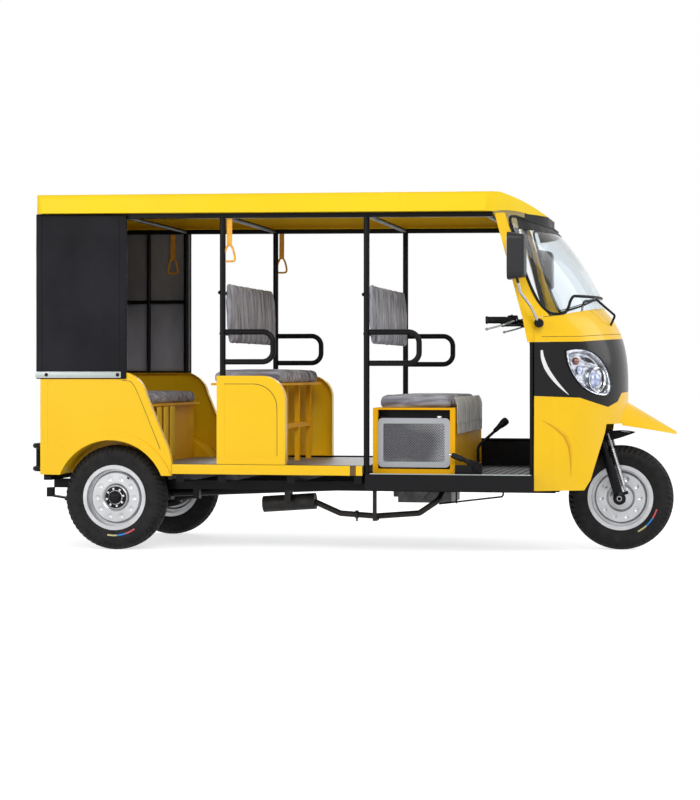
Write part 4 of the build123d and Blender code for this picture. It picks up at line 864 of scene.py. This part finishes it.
# ---- windscreen seal, top band and wiper blade
screen = surface_tree("windscreen")
screen_axis = Vector((0.6, 0.0, 0.0))
ray_start = 2.0
glass_low = [(0.98, 1.188), (1.075, 1.196), (1.289, 1.244), (1.42, 1.273)]
glass_top = [(0.84, 1.707), (1.03, 1.66), (1.42, 1.4)]


def on_screen(turn, z):
    """The glass's outer face in a direction seen from inside the cab, at a height."""
    ray = Vector((math.cos(turn), math.sin(turn), 0))
    return screen.ray_cast(screen_axis + Vector((0, 0, z)) + ray * ray_start, -ray)[:2]


def screen_edge(turn, line, inward):
    """The glass's edge along one of its lines, a little inward of it."""
    z = 1.3 if inward > 0 else 1.64
    best = None
    for _ in range(10):
        place, normal = on_screen(turn, z)
        if place is None:
            z += 0.012 if inward < 0 else -0.003
            continue
        best = (place, normal)
        z = on_line(line, place.x) + inward
    return best


seal_side = [
    (0.862, 0.565, 1.684), (0.877, 0.563, 1.627), (0.909, 0.556, 1.519), (0.941, 0.546, 1.406),
    (0.972, 0.53, 1.325), (1.012, 0.512, 1.247), (1.056, 0.497, 1.209),
]
seal_low = [screen_edge(math.radians(a), glass_low, 0.004) for a in spread(-43, 43, 19)]
seal_top = [screen_edge(math.radians(a), glass_top, -0.004) for a in spread(62, -62, 19)]
seal_low, seal_top = (
    [place + normal * 0.001 for place, normal in filter(None, edges)]
    for edges in (seal_low, seal_top)
)
loop = [(x, -y, z) for x, y, z in seal_side] + seal_low + seal_side[::-1] + seal_top
put(tube("screen_seal", loop, 0.0075, plastic, closed=True, sides=8))

near, far = [], []
for a in spread(-64, 64, 33):
    edge = screen_edge(math.radians(a), glass_top, -0.002)
    if edge is None:
        continue
    deep = 0.03 + 0.04 * abs(a / 64) ** 2
    lower = on_screen(math.radians(a), edge[0].z - deep)
    if lower[0] is None:
        continue
    near.append(edge[0] + edge[1] * 0.0012)
    far.append(lower[0] + lower[1] * 0.0012)
put(ribbon("screen_top_band", near, far, plastic, 0.0016))

# header: closes the opening between the glass and the roof's underside
roofs = [surface_tree("roof_panel"), surface_tree("roof_cap")]
near, far = [], []
for a in spread(-60, 60, 49):
    edge = screen_edge(math.radians(a), glass_top, -0.002)
    if edge is None:
        continue
    start = edge[0] - edge[1] * 0.003
    hits = [tree.ray_cast(start, Vector((0, 0, 1)))[0] for tree in roofs]
    hits = [hit.z for hit in hits if hit is not None and hit.z - start.z < 0.2]
    if hits and min(hits) - start.z > 0.004:
        near.append(start)
        far.append(Vector((start.x, start.y, min(hits) - 0.0008)))
put(ribbon("screen_header", near, far, plastic, 0.003))

blade = []
for t in spread(0.0, 1.0, 12):
    y = -0.205 - 0.262 * t
    z = 1.2915 - 0.072 * t
    x = 1.1 + 0.18 * (1 - t)
    place, normal = on_screen(math.atan2(y, x - screen_axis.x), z)
    if place is not None:
        blade.append((place + normal * 0.0015, place + normal * 0.0125))
put(ribbon("wiper_blade", *zip(*blade), rubber, 0.003))

# ---- mirrors: glass and the clamp at the stem's foot
for side, sign in both_sides:
    outline = []
    half_wide, half_high, corner = 0.066, 0.106, 0.03
    for cy, cz, start in ((1, 1, 0), (-1, 1, 90), (-1, -1, 180), (1, -1, 270)):
        for a in range(0, 91, 15):
            turn = math.radians(start + a)
            y, z = cy * (
                half_wide - corner
            ) + corner * math.cos(turn), cz * (half_high - corner) + corner * math.sin(turn)
            outline.append((y, z))
    rings = ((1.0, 0.8735), (0.995, 0.8716), (0.96, 0.8712), (0.6, 0.8706))
    points = [(depth, sign * 0.7 + y * share, 1.485 + z * share) for share, depth in rings for y, z in outline]
    points.append((0.8704, sign * 0.7, 1.485))
    count = len(outline)
    last = (len(rings) - 1) * count
    faces = ring_faces(count, len(rings))
    faces += [(last + i, last + (i + 1) % count, len(points) - 1) for i in range(count)]
    put(finish_mesh(new_mesh(f"{side}_mirror_glass", points, faces, mirror_face)))
    foot, way = (1.009, sign * 0.5345, 1.16), (0, sign, 0)
    clamp_profile = [
        (0, 0), (0, 0.019), (0.004, 0.022), (0.01, 0.022), (0.012, 0.019), (0.016, 0.019), (0.018, 0.022),
        (0.028, 0.022), (0.03, 0.019), (0.034, 0.019), (0.036, 0.022), (0.044, 0.022), (0.048, 0.018), (0.048, 0),
    ]
    clamp = [turned("clamp", clamp_profile, foot, way, plastic, 24)]
    for a, b in ((0.0122, 0.0158), (0.0302, 0.0338)):
        clamp.append(
            turned("clamp_band", [(a, 0.0192), (a, 0.0206), (b, 0.0206), (b, 0.0192)], foot, way, chrome, 24)
        )
    put(join(f"{side}_mirror_clamp", clamp))

# ---- mask stripes and headlamp insides
mask = surface_tree("lamp_mask")
stripe_line = [
    (1.02, 1.026), (1.027, 0.982), (1.039, 0.943), (1.06, 0.905), (1.087, 0.869), (1.118, 0.835), (1.148, 0.804),
]
stripe_fit = np.polyfit([z for x, z in stripe_line], [x for x, z in stripe_line], 3)


def on_mask(x, z, sign):
    place = mask.ray_cast(Vector((x, sign * 1.2, z)), Vector((0, -sign, 0)))[0]
    return place + Vector((0, sign, 0)) * 0.0009 if place is not None else None


for side, sign in both_sides:
    near, far = [], []
    for t in spread(0.0, 1.0, 40):
        z = 1.026 - 0.222 * t
        x = float(np.polyval(stripe_fit, z))
        slope = float(np.polyval(np.polyder(stripe_fit), z))
        across = Vector((1.0, 0, -slope)).normalized()
        half = 0.0095 * math.sin(math.pi * min(1.0, 0.12 + 0.88 * t)) ** 0.8 + 0.0003
        a = on_mask(x + across.x * half, z + across.z * half, sign)
        b = on_mask(x - across.x * half, z - across.z * half, sign)
        if a is None or b is None:
            continue
        near.append(a)
        far.append(b)
    put(ribbon(f"{side}_mask_stripe", near, far, white_film, 0.0008))

lamp_radius = 0.541
lamp_turn, lamp_aim = math.radians(45), math.radians(38)
lamp_centre = Vector((0.868, 0, 0))


def arc(a, b, c, count):
    """Points on the circle through three places of a plane."""
    (ax, ay), (bx, by), (cx, cy) = a, b, c
    d = 2 * (ax * (by - cy) + bx * (cy - ay) + cx * (ay - by))
    ux = ((ax**2 + ay**2) * (by - cy) + (bx**2 + by**2) * (cy - ay) + (cx**2 + cy**2) * (ay - by)) / d
    uy = ((ax**2 + ay**2) * (cx - bx) + (bx**2 + by**2) * (ax - cx) + (cx**2 + cy**2) * (bx - ax)) / d
    r = math.hypot(ax - ux, ay - uy)
    start, mid, end = (math.atan2(p[1] - uy, p[0] - ux) for p in (a, b, c))
    sweep = (end - start) % (2 * math.pi)
    if not (mid - start) % (2 * math.pi) < sweep:
        sweep -= 2 * math.pi
    return [
        (ux + r * math.cos(start + sweep * i / count), uy + r * math.sin(start + sweep * i / count))
        for i in range(count)
    ]


tip, front, low_corner = (-0.146, 1.024), (0.146, 0.872), (0.092, 0.8)
lamp_outline = arc(tip, (0.052, 0.992), front, 18) + arc(front, (0.14, 0.818), low_corner, 8) + arc(
    low_corner, (-0.062, 0.852), tip, 18,
)
lamp_middle = (0.03, 0.905)
wedge_lines = ((-0.03, 0.995), (0.005, 0.983), (0.038, 0.962)), ((-0.022, 0.978), (0.002, 0.966), (0.03, 0.958))


def in_lamp(u, z, deep, sign):
    """A place in the lamp: u along it, a height, and a depth below its face."""
    away = math.sqrt(lamp_radius**2 - u * u) - deep
    outward = Vector((math.cos(lamp_turn), sign * math.sin(lamp_turn), 0))
    run = Vector((math.sin(lamp_turn), -sign * math.cos(lamp_turn), 0))
    return lamp_centre + outward * away + run * u + Vector((0, 0, z))


def shrunk(share):
    return [
        (lamp_middle[0] + (u - lamp_middle[0]) * share, lamp_middle[1] + (z - lamp_middle[1]) * share)
        for u, z in lamp_outline
    ]


def lamp_skin(name, rings, made, sign, close=False):
    points = [in_lamp(u, z, deep, sign) for share, deep in rings for u, z in shrunk(share)]
    count = len(lamp_outline)
    faces = ring_faces(count, len(rings))
    if close:
        faces.append(tuple((len(rings) - 1) * count + i for i in range(count)))
    return finish_mesh(thicken(new_mesh(name, points, faces, made), 0.0012, -1.0))


for side, sign in both_sides:
    facing_out = Vector((math.cos(lamp_aim), sign * math.sin(lamp_aim), 0))
    insides = [
        lamp_skin("lamp_rim", [(0.985, 0.0015), (0.93, 0.002), (0.86, 0.01), (0.83, 0.02)], reflector, sign),
        lamp_skin("lamp_back", [(0.95, 0.03), (0.8, 0.031), (0.5, 0.034), (0.2, 0.036)], reflector, sign, True),
    ]
    bowl = in_lamp(0.052, 0.88, 0.036, sign)
    insides += [
        turned(
            "bowl",
            [
                (0.0, 0.0), (0.001, 0.018), (0.006, 0.036), (0.015, 0.05), (0.024, 0.057), (0.027, 0.0595),
                (0.026, 0.062), (0.016, 0.058), (0.004, 0.045), (-0.002, 0.02), (-0.002, 0),
            ],
            bowl, facing_out, chrome, 40,
        ),
        turned(
            "projector",
            [
                (0.004, 0.0), (0.004, 0.036), (0.01, 0.0365), (0.016, 0.033), (0.022, 0.024), (0.0255, 0.012),
                (0.0262, 0.0),
            ],
            bowl, facing_out, lamp_blue, 32,
        ),
        turned(
            "indicator", [(0.0, 0.0), (0.0, 0.019), (0.006, 0.018), (0.012, 0.012), (0.0145, 0.005), (0.015, 0.0)],
            in_lamp(-0.07, 0.972, 0.03, sign), facing_out, lamp_amber, 24,
        ),
        turned(
            "side_light", [(0.0, 0.0), (0.0, 0.021), (0.006, 0.02), (0.011, 0.013), (0.013, 0.0)],
            in_lamp(-0.048, 0.926, 0.03, sign), facing_out, lamp_blue, 24,
        ),
    ]
    brow_out, brow_in = [], []
    for a in spread(-80, 75, 18):
        turn_a = math.radians(a)
        wide = 0.0075 * math.cos(turn_a * 0.95) + 0.0008
        u, z = 0.052 + 0.047 * math.cos(turn_a), 0.88 + 0.047 * math.sin(turn_a)
        brow_out.append(in_lamp(u, z, 0.008, sign))
        brow_in.append(in_lamp(u - wide * math.cos(turn_a), z - wide * math.sin(turn_a), 0.007, sign))
    insides.append(ribbon("brow", brow_out, brow_in, plastic, 0.001))
    wedge = [[in_lamp(u, z, 0.012, sign) for u, z in line] for line in wedge_lines]
    insides.append(ribbon("wedge", *wedge, plastic, 0.001))
    put(join(f"{side}_lamp_insides", insides))
    trim = [in_lamp(u, z, -0.0045, sign) for u, z in shrunk(1.012)]
    put(tube(f"{side}_lamp_trim", trim, 0.0028, plastic, closed=True, sides=6))

# ---- handlebar: grips, switches, levers, instrument
for side, sign in both_sides:
    start, end = Vector((0.84, sign * 0.302, 1.182)), Vector((0.719, sign * 0.33, 1.182))
    way = (end - start).normalized()
    profile = [(0.02, 0.0164)]
    for k in range(16):
        run = 0.024 + 0.0058 * k
        profile += [(run, 0.0168), (run + 0.0012, 0.0182), (run + 0.0034, 0.0182), (run + 0.0046, 0.0168)]
    profile += [(0.118, 0.017), (0.119, 0.02), (0.1265, 0.02), (0.129, 0.018), (0.129, 0.0)]
    fittings = [
        turned("grip", profile, start, way, rubber, 24),
        turned(
            "switch",
            [
                (-0.034, 0.0166), (-0.034, 0.0225), (-0.03, 0.0245), (0.012, 0.0245), (0.017, 0.0225),
                (0.017, 0.0166),
            ],
            start, way, plastic, 24,
        ),
        turned(
            "button", [(0.0, 0.0), (0.0, 0.006), (0.004, 0.006), (0.005, 0.004), (0.005, 0.0)],
            start + Vector((0.004, 0, 0.0236)), (0, 0, 1), lamp_amber, 16,
        ),
        turned(
            "perch", [(0.0, 0.0), (0.0, 0.011), (0.014, 0.011), (0.016, 0.009), (0.016, 0)],
            start + Vector((0.018, sign * 0.026, -0.008)), (0, 0, 1), plastic, 16,
        ),
        tube(
            "lever",
            [
                start + Vector(p)
                for p in (
                    (0.03, sign * 0.014, 0.0), (0.02, sign * 0.036, -0.004), (-0.01, sign * 0.058, -0.018),
                    (-0.06, sign * 0.066, -0.034), (-0.112, sign * 0.064, -0.046),
                )
            ],
            0.0048, aluminium, sides=8,
        ),
        turned(
            "lever_end", [(0, 0), (0.001, 0.004), (0.005, 0.0075), (0.011, 0.0075), (0.015, 0.004), (0.016, 0)],
            start + Vector((-0.108, sign * 0.064, -0.045)), (-1, 0, -0.2), aluminium, 16,
        ),
    ]
    put(join(f"{side}_handlebar_grip", fittings), "steering_fork")

dial_way = Vector((-0.83, 0, 0.56)).normalized()
dial_base = Vector((1.01, 0, 1.15))
pod = [
    turned(
        "pod",
        [
            (0.0, 0.0), (0.0, 0.03), (0.01, 0.05), (0.03, 0.06), (0.046, 0.06), (0.052, 0.056), (0.049, 0.052),
            (0.044, 0.051), (0.043, 0.0),
        ],
        dial_base, dial_way, plastic, 40,
    ),
    turned(
        "dial_ring",
        [(0.0445, 0.05), (0.047, 0.0515), (0.0495, 0.0515), (0.0505, 0.049), (0.0485, 0.047), (0.0445, 0.047)],
        dial_base, dial_way, chrome, 40,
    ),
]
dial_up = Vector((0.56, 0, 0.83)).normalized()
for k in range(13):
    turn = math.radians(-120 + 20 * k)
    ray = dial_up * math.cos(turn) + Vector((0, 1, 0)) * math.sin(turn)
    cross = ray.cross(dial_way) * 0.0009
    face = dial_base + dial_way * 0.0442
    pod.append(
        ribbon(
            "tick", [face + ray * 0.036 + cross, face + ray * 0.044 + cross],
            [face + ray * 0.036 - cross, face + ray * 0.044 - cross], white_film, 0.0004,
        )
    )
needle_ray = dial_up * math.cos(math.radians(-120)) + Vector((0, 1, 0)) * math.sin(math.radians(-120))
cross = needle_ray.cross(dial_way) * 0.0014
face = dial_base + dial_way * 0.0455
pod.append(
    ribbon(
        "needle", [face + cross, face + needle_ray * 0.036],
        [face - cross, face + needle_ray * 0.036 - cross * 0.2], lamp_amber, 0.0006,
    )
)
put(join("instrument_pod", pod), "steering_fork")

# ---- wheels: hub caps, nuts, valves and side marks
mark_width = 0.0581
mark_turn = 15
front_axle = Vector(wheels[0][1])


def tyre_mark(name, base, out, start):
    """Three short painted bands that follow one another round the sidewall."""
    bands = []
    for k, band_paint in enumerate((mark_straw, mark_blue, mark_red)):
        inner, outer = [], []
        for a in spread(start + mark_turn * k, start + mark_turn * (k + 1), 9):
            turn = math.radians(a)
            for ring, width, radius in ((inner, mark_width, 0.1905), (outer, mark_width + 0.002, 0.1985)):
                ring.append(base + Vector((radius * math.cos(turn), out * width, radius * math.sin(turn))))
        bands.append(ribbon("band", inner, outer, band_paint, 0.0006))
    return join(name, bands)


def wheel_trim(wheel, centre, body, out):
    base = Vector(centre)
    way = (0, out, 0)
    cap = [
        (0.03, 0.034), (0.034, 0.034), (0.036, 0.03), (0.048, 0.0282), (0.054, 0.0216), (0.0565, 0.012),
        (0.057, 0.0),
    ]
    flange = [(0.0225, 0.0), (0.0225, 0.057), (0.0265, 0.057), (0.028, 0.055), (0.028, 0.0)]
    fittings = [turned("cap", cap, base, way, plastic, 32), turned("flange", flange, base, way, plastic, 40)]
    for k in range(8):
        turn = 2 * math.pi * (k + 0.25) / 8
        place = base + Vector((0.045 * math.cos(turn), out * 0.027, 0.045 * math.sin(turn)))
        fittings.append(
            turned(
                "nut",
                [
                    (0, 0), (0, 0.007), (0.006, 0.007), (0.008, 0.0058), (0.008, 0.0034), (0.012, 0.003),
                    (0.013, 0.0),
                ],
                place, way, steel, 6,
            )
        )
    turn = math.radians(55)
    valve = base + Vector((0.118 * math.cos(turn), out * 0.022, 0.118 * math.sin(turn)))
    fittings.append(
        turned(
            "valve", [(0, 0.004), (0.016, 0.0036), (0.017, 0.0046), (0.026, 0.0046), (0.028, 0.003), (0.028, 0)],
            valve, (0.3 * math.cos(turn), out, 0.3 * math.sin(turn)), rubber, 12,
        )
    )
    put(join(f"{wheel}_hub_trim", fittings), body)
    put(tyre_mark(f"{wheel}_tyre_mark", base, out, -100), body)


for wheel, out in zip(wheels[1:], (-1, 1)):
    wheel_trim(*wheel, out)

# ---- radiator mesh
grid_low, grid_high = (0.2175, 0.467), (0.5265, 0.657)
points, faces = [], []
pitch = 0.0085
lean_wire = 0.62
wide, high = grid_high[0] - grid_low[0], grid_high[1] - grid_low[1]


def wire(x0, z0, x1, z1, y):
    way = Vector((x1 - x0, 0, z1 - z0)).normalized()
    cross = Vector((-way.z, 0, way.x)) * 0.0008
    first = len(points)
    for x, z in ((x0, z0), (x1, z1)):
        for dy, sign in ((-0.0006, 1), (-0.0006, -1), (0.0006, -1), (0.0006, 1)):
            points.append((x + cross.x * sign, y + dy, z + cross.z * sign))
    for k in range(4):
        j = (k + 1) % 4
        faces.append((first + k, first + j, first + 4 + j, first + 4 + k))
    faces.extend([(first, first + 3, first + 2, first + 1), (first + 4, first + 5, first + 6, first + 7)])


for sign in (-1, 1):
    reach = high * lean_wire
    count = int((wide + reach) / pitch)
    for k in range(count):
        foot = grid_low[0] - (reach if sign > 0 else 0) + pitch * (k + 0.5)
        x0, z0, x1, z1 = foot, grid_low[1], foot + sign * reach, grid_high[1]
        ends = []
        for x in (x0, x1):
            clipped = min(max(x, grid_low[0]), grid_high[0])
            ends.append((clipped, z0 + (z1 - z0) * (clipped - x0) / (x1 - x0)))
        (xa, za), (xb, zb) = ends
        if abs(za - zb) > 0.004 and grid_low[1] - 1e-4 <= min(za, zb) and max(za, zb) <= grid_high[1] + 1e-4:
            wire(xa, za, xb, zb, -0.4915 + 0.0008 * sign)
put(finish_mesh(new_mesh("radiator_mesh", points, faces, mesh_silver, False)))
tank = [
    bar("tank", (0.196, -0.4975, 0.6585), (0.548, -0.495, 0.6625), aluminium, 0.001),
    bar("tank", (0.196, -0.4975, 0.4595), (0.548, -0.495, 0.4635), aluminium, 0.001),
    turned(
        "filler", [(0, 0.0), (0, 0.014), (0.004, 0.016), (0.01, 0.016), (0.012, 0.013), (0.012, 0)],
        (0.5, -0.478, 0.686), (0, 0, 1), chrome, 24,
    ),
]
put(join("radiator_trim", tank))

# ---- driver's controls
lever_way = Vector((0.126, 0.07, 0.12)).normalized()
knob = Vector((0.73, 0.302, 0.646))
put(
    turned(
        "gear_lever_grip",
        [
            (-0.072, 0.0085), (-0.07, 0.0115), (-0.04, 0.0135), (-0.012, 0.0195), (0.004, 0.0215), (0.018, 0.0205),
            (0.024, 0.015), (0.026, 0.0),
        ],
        knob, lever_way, rubber, 24,
    ),
)
boot_way = Vector((-0.05, 0, 0.035)).normalized()
boot = [(-0.014, 0.036)]
for k in range(6):
    boot += [(-0.01 + 0.009 * k, 0.034 - 0.0028 * k), (-0.0055 + 0.009 * k, 0.028 - 0.0028 * k)]
boot.append((0.05, 0.0125))
brake = [
    turned("boot", boot, (0.69, -0.54, 0.446), boot_way, rubber, 28),
    turned(
        "brake_grip", [(0.0, 0.0113), (0.002, 0.014), (0.04, 0.015), (0.056, 0.014), (0.058, 0.0112)],
        (0.626, -0.54, 0.483), (-0.07, 0, 0.025), rubber, 20,
    ),
    turned(
        "brake_button", [(0, 0.0), (0, 0.006), (0.008, 0.006), (0.011, 0.004), (0.011, 0)], (0.5698, -0.54, 0.5031),
        (-0.07, 0, 0.025), chrome, 16,
    ),
]
put(join("parking_brake_trim", brake))

# ---- battens, floor strips and screws
for side, sign in both_sides:
    y_low, y_high = sorted((sign * 0.6062, sign * 0.6098))
    parts = [bar("batten", (-1.595, y_low, 0.888), (-1.133, y_high, 0.92), aluminium, 0.0012)]
    for bolt_x in (-1.535, -1.15):
        parts.append(
            turned(
                "screw",
                [(0, 0.0), (0, 0.0095), (0.0014, 0.0095), (0.0016, 0.0062), (0.0046, 0.0058), (0.0052, 0.0)],
                (bolt_x, sign * 0.6097, 0.904), (0, sign, 0), plastic, 16,
            )
        )
    for edge_z in (0.8905, 0.9175):
        lip_low, lip_high = sorted((sign * 0.6095, sign * 0.6106))
        parts.append(
            bar(
                "lip", (-1.594, lip_low, edge_z - 0.0018), (-1.134, lip_high, edge_z + 0.0018), strut_silver,
                0.0004,
            )
        )
    put(join(f"{side}_batten", parts))
    y_low, y_high = sorted((sign * 0.5885, sign * 0.603))
    put(
        bar(f"{side}_floor_strip", (0.165, y_low, 0.4064), (0.975, y_high, 0.4108), aluminium, 0.0012),
    )

# ---- linings behind the curtains, pane in the rear one
for side, sign in both_sides:
    def lined(u, v, sign=sign):
        x = -1.594 + 0.484 * u
        z = 0.925 + 0.8 * v
        return (x, sign * (0.5978 + 0.001 * noise.noise(Vector((u * 4, v * 5, 2.0 * sign)))), z)

    lining = grid_mesh(f"{side}_curtain_lining", 25, 41, lined, pane)
    thicken(lining, 0.001)
    put(lining)

pane_x = rear_low.x - 0.0004
pane_parts = []
for y0, y1 in ((-0.43, -0.02), (0.02, 0.43)):
    def paned(u, v, y0=y0, y1=y1):
        return (pane_x + 0.0006 * noise.noise(Vector((u * 3, v * 3, y0 * 9))), y0 + (y1 - y0) * u, 1.18 + 0.33 * v)

    pane_parts.append(grid_mesh("pane", 13, 11, paned, pane))
    rim_y = (y0 - 0.012, y1 + 0.012)
    frame_line = [
        (pane_x - 0.001, y, z)
        for y, z in ((rim_y[0], 1.168), (rim_y[1], 1.168), (rim_y[1], 1.522), (rim_y[0], 1.522))
    ]
    pane_parts.append(tube("pane_edge", [*frame_line, frame_line[0]], 0.004, vinyl, smooth_line=False, sides=6))
panes = put(join("rear_curtain_panes", pane_parts))

# ---- driver's seat skirt with its fringe
skirt_low, skirt_high, skirt_half = 0.655, 0.792, 0.47


def skirt(u, v):
    """Gathered plush hanging down the front of the seat box; v runs up."""
    fold = ridges(u * 27) * 0.0032 * (1.1 - 0.5 * v)
    z = skirt_low + (skirt_high - skirt_low) * v
    roll = max(0.0, (z - 0.742) / 0.05)
    return (0.5885 + fold - 0.0165 * roll * roll, -skirt_half + 2 * skirt_half * u, z)


skirt_piece = grid_mesh("driver_seat_skirt", 241, 13, skirt, fringe_cloth)
thicken(skirt_piece, 0.0016)
put(skirt_piece)
strands = []
for k in range(74):
    u = (k + 0.5) / 74
    top = skirt(u, 0.0)
    drop = 0.052 + 0.005 * noise.noise(Vector((k * 0.7, 2.0, 5.0)))
    sway = 0.003 * noise.noise(Vector((k * 1.3, 7.0, 1.0)))
    near, far = (
        [(top[0] + 0.0006, top[1] + half + sway * t * t, top[2] + 0.004 - drop * t) for t in spread(0, 1, 5)]
        for half in (-0.0052, 0.0052)
    )
    strands.append(ribbon("strand", near, far, fringe_cloth, 0.0016))
fringe = put(join("driver_seat_fringe", strands))


def rounded_loop(a0, a1, b0, b1, corner):
    """Points round a rectangle with eased corners."""
    return [
        (a0 + corner, b0), ((a0 + a1) / 2, b0), (a1 - corner, b0), (a1, b0), (a1, b0 + corner), (a1, (b0 + b1) / 2),
        (a1, b1 - corner), (a1, b1), (a1 - corner, b1), ((a0 + a1) / 2, b1), (a0 + corner, b1), (a0, b1),
        (a0, b1 - corner), (a0, (b0 + b1) / 2), (a0, b0 + corner), (a0, b0),
    ]


# ---- painted shade along the groove across the cowl, lamp bezels, front tyre mark
cowl = surface_tree("front_cowl")
cowl_foot = [(0.96, 1.066), (1.2, 1.07), (1.33, 1.082), (1.42, 1.092), (1.5, 1.096)]
groove = []
for a in spread(-74, 74, 41):
    ray = Vector((math.cos(math.radians(a)), math.sin(math.radians(a)), 0))
    z = 1.1
    for _ in range(5):
        place, normal = cowl.ray_cast(lamp_centre + Vector((0, 0, z)) + ray * ray_start, -ray)[:2]
        if place is None:
            break
        z = on_line(cowl_foot, place.x) + 0.026
    if place is not None:
        groove.append(place - normal * 0.0004)
put(tube("cowl_groove_shade", groove, 0.0016, groove_shade_and_joint_brown, sides=6))
for side, sign in both_sides:
    line = rounded_loop(sign * 0.49 - 0.0405, sign * 0.49 + 0.0405, 0.6045, 0.7955, 0.018)
    put(tube(f"{side}_tail_bezel", [(-1.5735, y, z) for y, z in line], 0.0035, chrome, closed=True))
put(tyre_mark("front_tyre_mark", front_axle, -1, -62), "front_wheel")

# ---- painted shade: dark lines laid on the panels along the pressed grooves
panel_face = 0.5996
for side, sign in both_sides:
    line = [(-1.131, 0.8755), (-1.1, 0.874)]
    line += [(-1.08, 0.869), (-1.058, 0.838), (-1.0405, 0.801), (-0.9905, 0.682), (-0.9435, 0.569), (-0.926, 0.524)]
    quarter_line = tube("line", [(x, sign * panel_face, z) for x, z in line], 0.0017, groove_shade_and_joint_brown)
    line = [(-0.586, 0.8575), (-0.44, 0.8575)]
    line += [
        (-0.432 + 0.1205 * math.sin(math.radians(a)), 0.737 + 0.1205 * math.cos(math.radians(a)))
        for a in range(0, 91, 15)
    ]
    line += [(-0.3115, 0.62), (-0.3115, 0.494)]
    mid_line = tube("line", [(x, sign * panel_face, z) for x, z in line], 0.0017, groove_shade_and_joint_brown)
    put(join(f"{side}_groove_shade_lines", [quarter_line, mid_line]))
    # the sill's pressed yellow cover, with the joint where it meets the post
    y_low, y_high = sorted((sign * 0.6071, sign * 0.6088))
    cover = [
        bar("cover", (-0.86, y_low, 0.3985), (0.066, y_high, 0.4475), yellow, 0.0008),
        bar("joint", (0.0675, y_low, 0.3985), (0.0945, y_high, 0.4475), groove_shade_and_joint_brown, 0.0008),
        bar("cover", (0.096, y_low, 0.3985), (0.129, y_high, 0.4475), yellow, 0.0008),
    ]
    put(join(f"{side}_sill_cover", cover))

# ---- painted shade of the moulded crease down each side of the apron: darker yellow bands on its surface
apron = surface_tree("front_apron")
crease_line = [
    (1.036, 0.679, 0.003), (1.072, 0.657, 0.01), (1.104, 0.634, 0.016), (1.15, 0.594, 0.02), (1.172, 0.546, 0.019),
    (1.18, 0.497, 0.015), (1.183, 0.45, 0.01), (1.185, 0.4, 0.003),
]
for side, sign in both_sides:
    near, middle, far = [], [], []
    for t in spread(0, len(crease_line) - 1, 36):
        k = min(int(t), len(crease_line) - 2)
        part = t - k
        x, z, width = (a + (b - a) * part for a, b in zip(crease_line[k], crease_line[k + 1]))
        row = []
        for step in (0.0, 0.45, 1.0):
            at = Vector((x + step * width, sign * 2.0, z + 0.4 * step * width))
            place, normal = apron.ray_cast(at, Vector((0, -sign, 0)))[:2]
            if place is not None and abs(place.y) < 0.6:
                shift = 0.2 * (abs(place.y) - 0.6)
                at.x += shift
                place, normal = apron.ray_cast(at, Vector((0, -sign, 0)))[:2]
            if place is not None:
                row.append(place + normal * 0.0008)
        if len(row) == 3:
            near.append(row[0])
            middle.append(row[1])
            far.append(row[2])
    crease_shade_bands = [
        ribbon("crease", near, middle, crease_painted_shade, 0.0004), ribbon("crease", middle, far, crease_painted_half_shade, 0.0004),
    ]
    put(join(f"{side}_apron_crease_shade", crease_shade_bands))

# ---- shroud behind the radiator, slats under the rear seat
shroud = [
    bar("shroud", (0.18, -0.45, 0.433), (0.564, -0.446, 0.734), plastic, 0.0015),
    bar("shroud", (0.185, -0.486, 0.69), (0.559, -0.45, 0.693), plastic, 0.001),
]
put(join("radiator_shroud", shroud))
slats = []
for y in (-0.335, -0.215, -0.095):
    slats.append(bar("slat", (-1.0135, y - 0.034, 0.47), (-1.0068, y + 0.034, 0.735), slat_yellow, 0.0015))
put(join("rear_seat_slats", slats))

# ---- fork: guard's side flanges, axle clamps and nuts
flanges = []
for sign in (-1, 1):
    outline = [
        (1.3, 0.61), (1.36, 0.6105), (1.445, 0.6035), (1.425, 0.596), (1.385, 0.582), (1.345, 0.57), (1.312, 0.564),
    ]
    points = [(x, sign * 0.0405 + dy, z) for dy in (-0.0009, 0.0009) for x, z in outline]
    count = len(outline)
    faces = [tuple(range(count))[::-1], tuple(range(count, 2 * count))]
    faces += [(k, (k + 1) % count, count + (k + 1) % count, count + k) for k in range(count)]
    flanges.append(finish_mesh(new_mesh("flange", points, faces, plastic, False)))
put(join("fork_guard_flanges", flanges), "steering_fork")
fork_half = 0.1235
clamps = []
for sign in (-1, 1):
    centre = front_axle + Vector((0, sign * fork_half, 0))
    way = (0, sign, 0)
    clamps.append(
        turned(
            "clamp", [(0, 0), (0, 0.0305), (0.0015, 0.0325), (0.005, 0.0325), (0.0065, 0.0305), (0.0065, 0)],
            centre, way, black, 36,
        )
    )
    clamps.append(
        turned(
            "washer", [(0.006, 0), (0.006, 0.0135), (0.0085, 0.0135), (0.0085, 0)], centre, way, strut_silver, 28,
        )
    )
    clamps.append(
        turned(
            "axle_nut", [(0.008, 0), (0.008, 0.011), (0.01, 0.0112), (0.0105, 0.0095), (0.0105, 0)], centre, way,
            strut_silver, 6,
        )
    )
put(join("front_axle_clamps", clamps), "steering_fork")

# ---- sizes
low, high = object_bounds()
